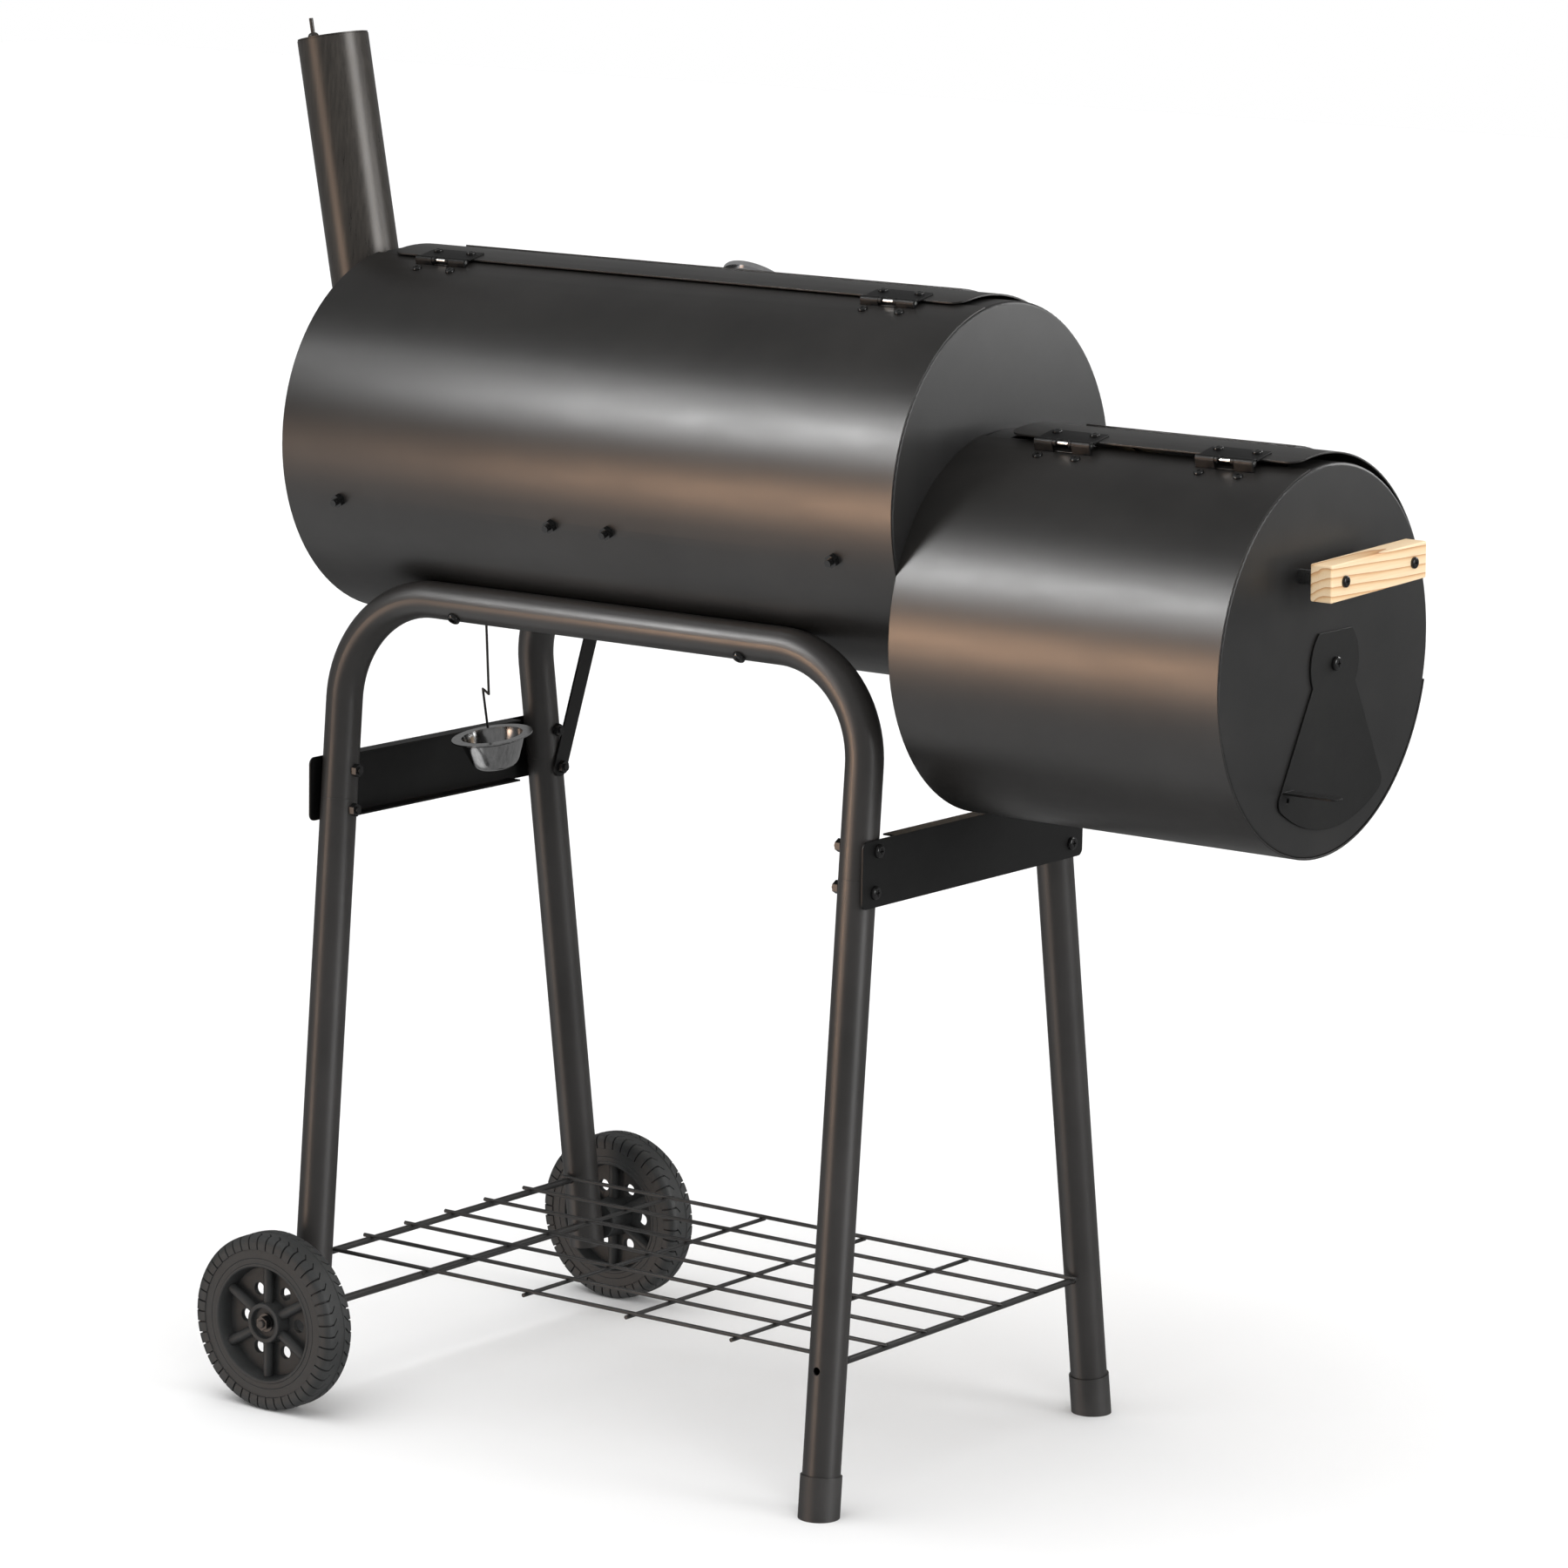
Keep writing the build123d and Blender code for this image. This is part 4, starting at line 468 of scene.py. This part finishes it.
def capsule(bm, start, end, radius):
    """A bar with rounded ends."""
    run = end - start
    turn = run.to_track_quat("Z", "Y").to_matrix().to_4x4()
    bulge = radius * CAPSULE_BULGE
    angles = [pi / 2 * i / CAPSULE_ROUNDS for i in range(CAPSULE_ROUNDS + 1)]
    profile = [(max(radius * sin(a), TIP_R), -bulge * cos(a)) for a in angles]
    profile += [(max(radius * sin(a), TIP_R), run.length + bulge * cos(a)) for a in reversed(angles)]
    before = set(bm.verts)
    lathe(bm, profile, CAPSULE_SIDES)
    fresh = [v for v in bm.verts if v not in before]
    bmesh.ops.transform(bm, matrix=Matrix.Translation(start) @ turn, verts=fresh)
    bmesh.ops.remove_doubles(bm, verts=fresh, dist=WELD)


# ------------------------------------------------------------------ wheels, in mm
WHEEL_WIDTH = 33.0
BLOCKS = 46
COLUMNS = ((0.00, 1), (0.09, 1), (0.125, 0), (0.40, 0), (0.70, 0), (0.965, 0))    # place in a block, 1 = groove
HALF_TYRE = (          # radius, depth from the outer face, how far the groove goes in along radius and depth
    (47.6, 14.6, 0, 0), (48.6, 8.0, 0, 0), (49.6, 2.2, 0, 0), (50.2, 0.9, 0, 0), (51.0, 0.4, 0, 0),
    (52.4, 0.4, 0, 0), (53.1, 1.1, 0, 0), (57.2, 0.9, 0, 0), (57.6, 1.25, 0, 0), (58.0, 0.9, 0, 0),
    (64.6, 1.2, 0, 0), (65.1, 1.2, 0, 0), (65.4, 0.25, 0, 1.5), (66.0, 0.1, 0, 1.7), (70.5, 0.1, -0.2, 1.8),
    (73.6, 0.9, -1.0, 1.8), (75.8, 2.4, -1.9, 1.4), (77.1, 4.6, -2.3, 0.6), (77.4, 7.2, -2.3, 0),
    (77.45, 9.6, -2.2, 0), (77.45, 11.4, -2.0, 0), (77.45, 11.8, 0, 0), (77.45, 12.5, 0, 0), (76.7, 12.9, 0, 0),
    (76.7, 16.5, 0, 0))
SHEAR_FROM, SHEAR_TO, SHEAR_DEG = 7.2, 11.4, 3.4        # depths where a groove bends, and by how much
HUB_BORE_R, HUB_STEPS = 3.75, 72
HUB_FACE = (           # radius, depth from the outer face
    (HUB_BORE_R, 8.2), (HUB_BORE_R, 7.2), (12.6, 7.0), (13.2, 6.4), (13.4, 3.2), (13.7, 2.4), (14.6, 2.0),
    (16.8, 2.0), (17.4, 2.5), (17.6, 5.5), (18.4, 11.5), (19.4, 14.2), (19.4, 19.2), (18.4, 21.5), (17.6, 29.0))
HUB_BACK = ((17.5, 0.8), (16.8, 0.2), (4.6, 0.2), (HUB_BORE_R, 1.0))       # radius, depth from the hub's back
SPOKES = 6
SPOKE_R, SPOKE_FROM, SPOKE_TO, SPOKE_DEPTH = 4.5, 15.5, 47.8, 9.6
RIB_HALF, RIB_FROM, RIB_TO, RIB_DEPTH = 3.0, 16.0, 48.0, 11.0
WEB_R, WEB_BORE_R, WEB_HALF, WEB_DEPTH, WEB_EDGE = 48.2, 9.0, 1.9, 17.0, 0.5
WEB_HOLE_R, WEB_HOLE_OUT, WEB_STEPS = 5.5, 30.0, 24
CIRCLE_GRIP = 0.5523           # handle length over radius for a quarter circle


def round_the_wheel(degrees):
    """The way out from the wheel's middle, and the way along its rim."""
    a = radians(degrees)
    return Vector((cos(a), sin(a), 0)), Vector((-sin(a), cos(a), 0))


def tyre(bm):
    """The moulded tyre: side walls, shoulder blocks cut by bent grooves and a plain middle band."""
    full = [(r, w, dr, dw, w) for r, w, dr, dw in HALF_TYRE]
    full += [(r, WHEEL_WIDTH - w, dr, -dw, w) for r, w, dr, dw in reversed(HALF_TYRE[:-1])]
    rings = []
    for block in range(BLOCKS):
        for place, groove in COLUMNS:
            base = 2 * pi * (block + place) / BLOCKS
            ring = []
            for r, w, dr, dw, from_face in full:
                bent = min(max((from_face - SHEAR_FROM) / (SHEAR_TO - SHEAR_FROM), 0), 1)
                angle = base + radians(SHEAR_DEG) * bent
                radius = r + dr * groove
                height = w + dw * groove
                ring.append(bm.verts.new((radius * cos(angle) * MM, radius * sin(angle) * MM, -height * MM)))
            rings.append(ring)
    for i, a in enumerate(rings):
        b = rings[(i + 1) % len(rings)]
        for j in range(len(full) - 1):
            bm.faces.new((a[j], b[j], b[j + 1], a[j + 1]))


def hub(bm, depth):
    """The turned hub, as deep as the wheel's own box."""
    profile = [*HUB_FACE, *((r, depth - w) for r, w in HUB_BACK)]
    lathe(bm, [(r * MM, -w * MM) for r, w in profile], HUB_STEPS, closed=True)


def spokes(bm):
    """Round spokes near both faces, and flat ribs that join them."""
    for i in range(SPOKES):
        way, _ = round_the_wheel(90 + 360 / SPOKES * i)
        for depth in (SPOKE_DEPTH, WHEEL_WIDTH - SPOKE_DEPTH):
            deep = Vector((0, 0, -depth * MM))
            capsule(bm, way * SPOKE_FROM * MM + deep, way * SPOKE_TO * MM + deep, SPOKE_R * MM)
    near, far = RIB_DEPTH, WHEEL_WIDTH - RIB_DEPTH
    for i in range(SPOKES):
        way, off = round_the_wheel(90 + 360 / SPOKES * i)
        for side in (-1, 1):
            corners = []
            for r, depth in ((RIB_FROM, near), (RIB_FROM, far), (RIB_TO, far), (RIB_TO, near)):
                flat = (way * r + off * side * RIB_HALF) * MM
                corners.append(bm.verts.new(flat + Vector((0, 0, -depth * MM))))
            bm.faces.new(corners[::-side])


def web(bm):
    """The wheel's disc with its round holes, a flat curve that is extruded and bevelled."""
    curve = bpy.data.curves.new("web", "CURVE")
    curve.dimensions = "2D"
    curve.fill_mode = "BOTH"
    curve.extrude = WEB_HALF * MM
    curve.bevel_depth = WEB_EDGE * MM
    curve.resolution_u = WEB_STEPS
    circles = [(Vector((0, 0, 0)), WEB_R - WEB_EDGE), (Vector((0, 0, 0)), WEB_BORE_R)]
    for i in range(SPOKES):
        way, _ = round_the_wheel(360 / SPOKES * i)
        circles.append((way * WEB_HOLE_OUT, WEB_HOLE_R + WEB_EDGE))
    for middle, r in circles:
        spline = curve.splines.new("BEZIER")
        spline.bezier_points.add(3)
        spline.use_cyclic_u = True
        for quarter, point in enumerate(spline.bezier_points):
            out, along = round_the_wheel(90 * quarter)
            place, grip = middle + out * r, along * r * CIRCLE_GRIP
            point.co = place * MM
            point.handle_left = (place - grip) * MM
            point.handle_right = (place + grip) * MM
    add_curve(bm, curve, (0, 0, -WEB_DEPTH * MM))


def make_wheel(node, side):
    """A moulded wheel whose outer face looks to +Y or -Y."""
    low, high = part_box(node)
    centre = Vector(((low.x + high.x) / 2, high.y if side > 0 else low.y, (low.z + high.z) / 2))
    bm = bmesh.new()
    tyre(bm)
    hub(bm, (high.y - low.y) / MM)
    spokes(bm)
    smooth(bm)
    web(bm)
    bmesh.ops.recalc_face_normals(bm, faces=bm.faces)
    turn = Matrix.Rotation(-side * pi / 2, 4, "X")
    bmesh.ops.transform(bm, matrix=Matrix.Translation(centre) @ turn, verts=bm.verts)
    wheel = add_piece(node + "_moulded", bm, "plastic", node)
    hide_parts(node)


make_wheel("rear_wheel", 1)
make_wheel("front_wheel", -1)


# ------------------------------------------------------------------ thermometer face, in mm
DIAL_FROM_DEG, DIAL_SWEEP_DEG = 230, 280
DIAL_TICKS, DIAL_NUMBERS, DIAL_STEP = 50, 5, 100
FACE_LIFT = 0.56               # from the dial's middle to its face
TICK_OUT, TICK_HEIGHT = 23.6, 0.08
LONG_TICK_IN, LONG_TICK_HALF = 19.0, 0.42
SHORT_TICK_IN, SHORT_TICK_HALF = 21.2, 0.2
NUMBER_R, NUMBER_SIZE, NUMBER_THICK, NUMBER_LIFT = 14.6, 4.6, 0.04, 0.05


def dial_degrees(share):
    return DIAL_FROM_DEG - DIAL_SWEEP_DEG * share


def make_dial_marks():
    """Ticks and numbers on the dial, generic degrees."""
    low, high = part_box("thermometer_dial")
    joint = next(j for j in frame["joints"] if j["child"] == "needle")
    out = -Vector(joint["axis"]).normalized()
    side = Vector((1, 0, 0))
    turn = Matrix((side, out.cross(side), out)).transposed().to_4x4()
    bm = bmesh.new()
    for i in range(DIAL_TICKS + 1):
        way, off = round_the_wheel(dial_degrees(i / DIAL_TICKS))
        long = i % (DIAL_TICKS // DIAL_NUMBERS) == 0
        inner, half = (LONG_TICK_IN, LONG_TICK_HALF) if long else (SHORT_TICK_IN, SHORT_TICK_HALF)
        spots = [way * inner - off * half, way * TICK_OUT - off * half, way * TICK_OUT + off * half,
                 way * inner + off * half]
        top = [bm.verts.new(p * MM + Vector((0, 0, TICK_HEIGHT * MM))) for p in spots]
        bottom = [bm.verts.new(p * MM) for p in spots]
        bm.faces.new(top)
        for k in range(4):
            bm.faces.new((bottom[k], bottom[(k + 1) % 4], top[(k + 1) % 4], top[k]))
    for i in range(DIAL_NUMBERS + 1):
        text = bpy.data.curves.new("number", "FONT")
        text.body = str(i * DIAL_STEP)
        text.size = NUMBER_SIZE * MM
        text.align_x = "CENTER"
        text.align_y = "CENTER"
        text.extrude = NUMBER_THICK * MM
        way, _ = round_the_wheel(dial_degrees(i / DIAL_NUMBERS))
        add_curve(bm, text, (way * NUMBER_R + Vector((0, 0, NUMBER_LIFT))) * MM)
    face = Matrix.Translation((low + high) / 2 + out * FACE_LIFT * MM) @ turn
    bmesh.ops.transform(bm, matrix=face, verts=bm.verts)
    bmesh.ops.recalc_face_normals(bm, faces=bm.faces)
    add_piece("dial_marks", bm, "ink", "main_lid")


make_dial_marks()


# ------------------------------------------------------------------ floor
FLOOR_SIZE = 14.0
FLOOR_SHADES, FLOOR_SHADE_SCALE = ((0.86, 0.86, 0.86), (0.89, 0.89, 0.89)), 1.5
FLOOR_ROUGH, FLOOR_ROUGH_SCALE = (0.75, 0.85), 20.0


def make_floor():
    """A plain pale floor that doesn't mirror in the paint."""
    bm = bmesh.new()
    bmesh.ops.create_grid(bm, x_segments=2, y_segments=2, size=FLOOR_SIZE)
    mesh = bpy.data.meshes.new("floor")
    bm.to_mesh(mesh)
    bm.free()
    floor = put("floor", mesh)
    g = Graph("floor_paint")
    g.colour(g.shades(g.noise(g.place, FLOOR_SHADE_SCALE), *FLOOR_SHADES))
    g.rough(g.span(g.noise(g.place, FLOOR_ROUGH_SCALE), *FLOOR_ROUGH))
    mesh.materials.append(g.material)
    floor.visible_glossy = False


make_floor()


# ------------------------------------------------------------------ light
WHITE = (1.0, 1.0, 1.0)
PEACH = (1.0, 0.70, 0.52)
WARM = (1.0, 0.60, 0.36)
AMBIENT = 0.26         # what shines on paint from all round
FILL = 0.58            # what lights plain surfaces from all round
BACKDROP = 1.0         # what the camera sees behind the object
PATCHES = (            # direction, colour, strength, half width and soft edge in degrees
    ((0.47, 0.85, -0.13), PEACH, 4.6, 3, 15),
    ((-0.98, -0.10, 0.22), WHITE, 9.0, 6, 14),
    ((0.58, 0.54, -0.61), WHITE, 0.7, 14, 24),
)
SUN_WAY, SUN_POWER, SUN_SPREAD = Vector((-0.05, -0.18, -1)), 2.1, 75
PANELS = (             # name, place, what it faces, size, power, colour, spread, True if it only makes a shine
    ("far_sheen", (1.95, 1.75, 2.55), (0.58, 0.2, 0.92), (0.9, 0.9), 0.62, WHITE, 26, True),
    ("near_sheen", (1.17, 2.10, 1.94), (-0.50, 0.2, 0.72), (1.1, 1.1), 2.4, WHITE, 18, True),
    ("warm_sheen", (0.95, 2.00, 0.55), (-0.55, 0.2, 0.72), (0.9, 0.28), 0.62, WARM, 26, True),
    ("cap_sheen", (-0.75, -0.78, 1.12), (-0.2, 0.1, 0.95), (0.5, 0.5), 4, WHITE, 180, True),
    ("camera_softbox", (-3.6, 3.0, 2.6), (0, 0, 0.5), (2.0, 2.0), 50, WHITE, 180, False),
)


def make_world():
    """White for the camera. What shines on the paint is a dark studio with soft bright patches."""
    world = bpy.data.worlds.new("studio")
    bpy.context.scene.world = world
    world.use_nodes = True
    tree = world.node_tree
    tree.nodes.clear()
    place = tree.nodes.new("ShaderNodeTexCoord").outputs["Generated"]

    def background(colour, strength):
        node = tree.nodes.new("ShaderNodeBackground")
        node.inputs["Color"].default_value = (*colour, 1)
        node.inputs["Strength"].default_value = strength
        return node

    def patch(way, colour, strength, wide, soft):
        """A soft round patch of light in one direction."""
        dot = tree.nodes.new("ShaderNodeVectorMath")
        dot.operation = "DOT_PRODUCT"
        tree.links.new(place, dot.inputs[0])
        dot.inputs[1].default_value = Vector(way).normalized()
        edge = tree.nodes.new("ShaderNodeMapRange")
        edge.interpolation_type = "SMOOTHSTEP"
        tree.links.new(dot.outputs["Value"], edge.inputs["Value"])
        edge.inputs["From Min"].default_value = cos(radians(wide + soft))
        edge.inputs["From Max"].default_value = cos(radians(wide))
        edge.inputs["To Max"].default_value = strength
        glow = background(colour, strength)
        tree.links.new(edge.outputs["Result"], glow.inputs["Strength"])
        return glow.outputs[0]

    light = background(WHITE, AMBIENT).outputs[0]
    for spec in PATCHES:
        add = tree.nodes.new("ShaderNodeAddShader")
        tree.links.new(light, add.inputs[0])
        tree.links.new(patch(*spec), add.inputs[1])
        light = add.outputs[0]
    rays = tree.nodes.new("ShaderNodeLightPath")
    for ray, strength in (("Is Diffuse Ray", FILL), ("Is Camera Ray", BACKDROP)):
        mix = tree.nodes.new("ShaderNodeMixShader")
        tree.links.new(rays.outputs[ray], mix.inputs[0])
        tree.links.new(light, mix.inputs[1])
        tree.links.new(background(WHITE, strength).outputs[0], mix.inputs[2])
        light = mix.outputs[0]
    tree.links.new(light, tree.nodes.new("ShaderNodeOutputWorld").inputs["Surface"])


def hang(data, way, place=(0, 0, 0)):
    """Puts a light at a place, facing one way, where the camera doesn't see it."""
    lamp = put(data.name, data)
    lamp.location = place
    lamp.rotation_euler = way.to_track_quat("-Z", "Y").to_euler()
    lamp.visible_camera = False
    return lamp


def make_lights():
    """A broad overhead light, a softbox beside the camera, and panels that only shine on the paint."""
    sun = bpy.data.lights.new("overhead", "SUN")
    sun.energy = SUN_POWER
    sun.angle = radians(SUN_SPREAD)
    hang(sun, SUN_WAY).visible_glossy = False
    for name, place, target, size, power, colour, spread, shine in PANELS:
        panel = bpy.data.lights.new(name, "AREA")
        panel.shape = "RECTANGLE"
        panel.size, panel.size_y = size
        panel.energy = power
        panel.color = colour
        panel.spread = radians(spread)
        lamp = hang(panel, Vector(target) - Vector(place), place)
        lamp.visible_diffuse = not shine
        lamp.visible_glossy = shine


make_world()
make_lights()
bpy.context.scene.view_settings.view_transform = "Standard"
bpy.context.scene.view_settings.look = "None"
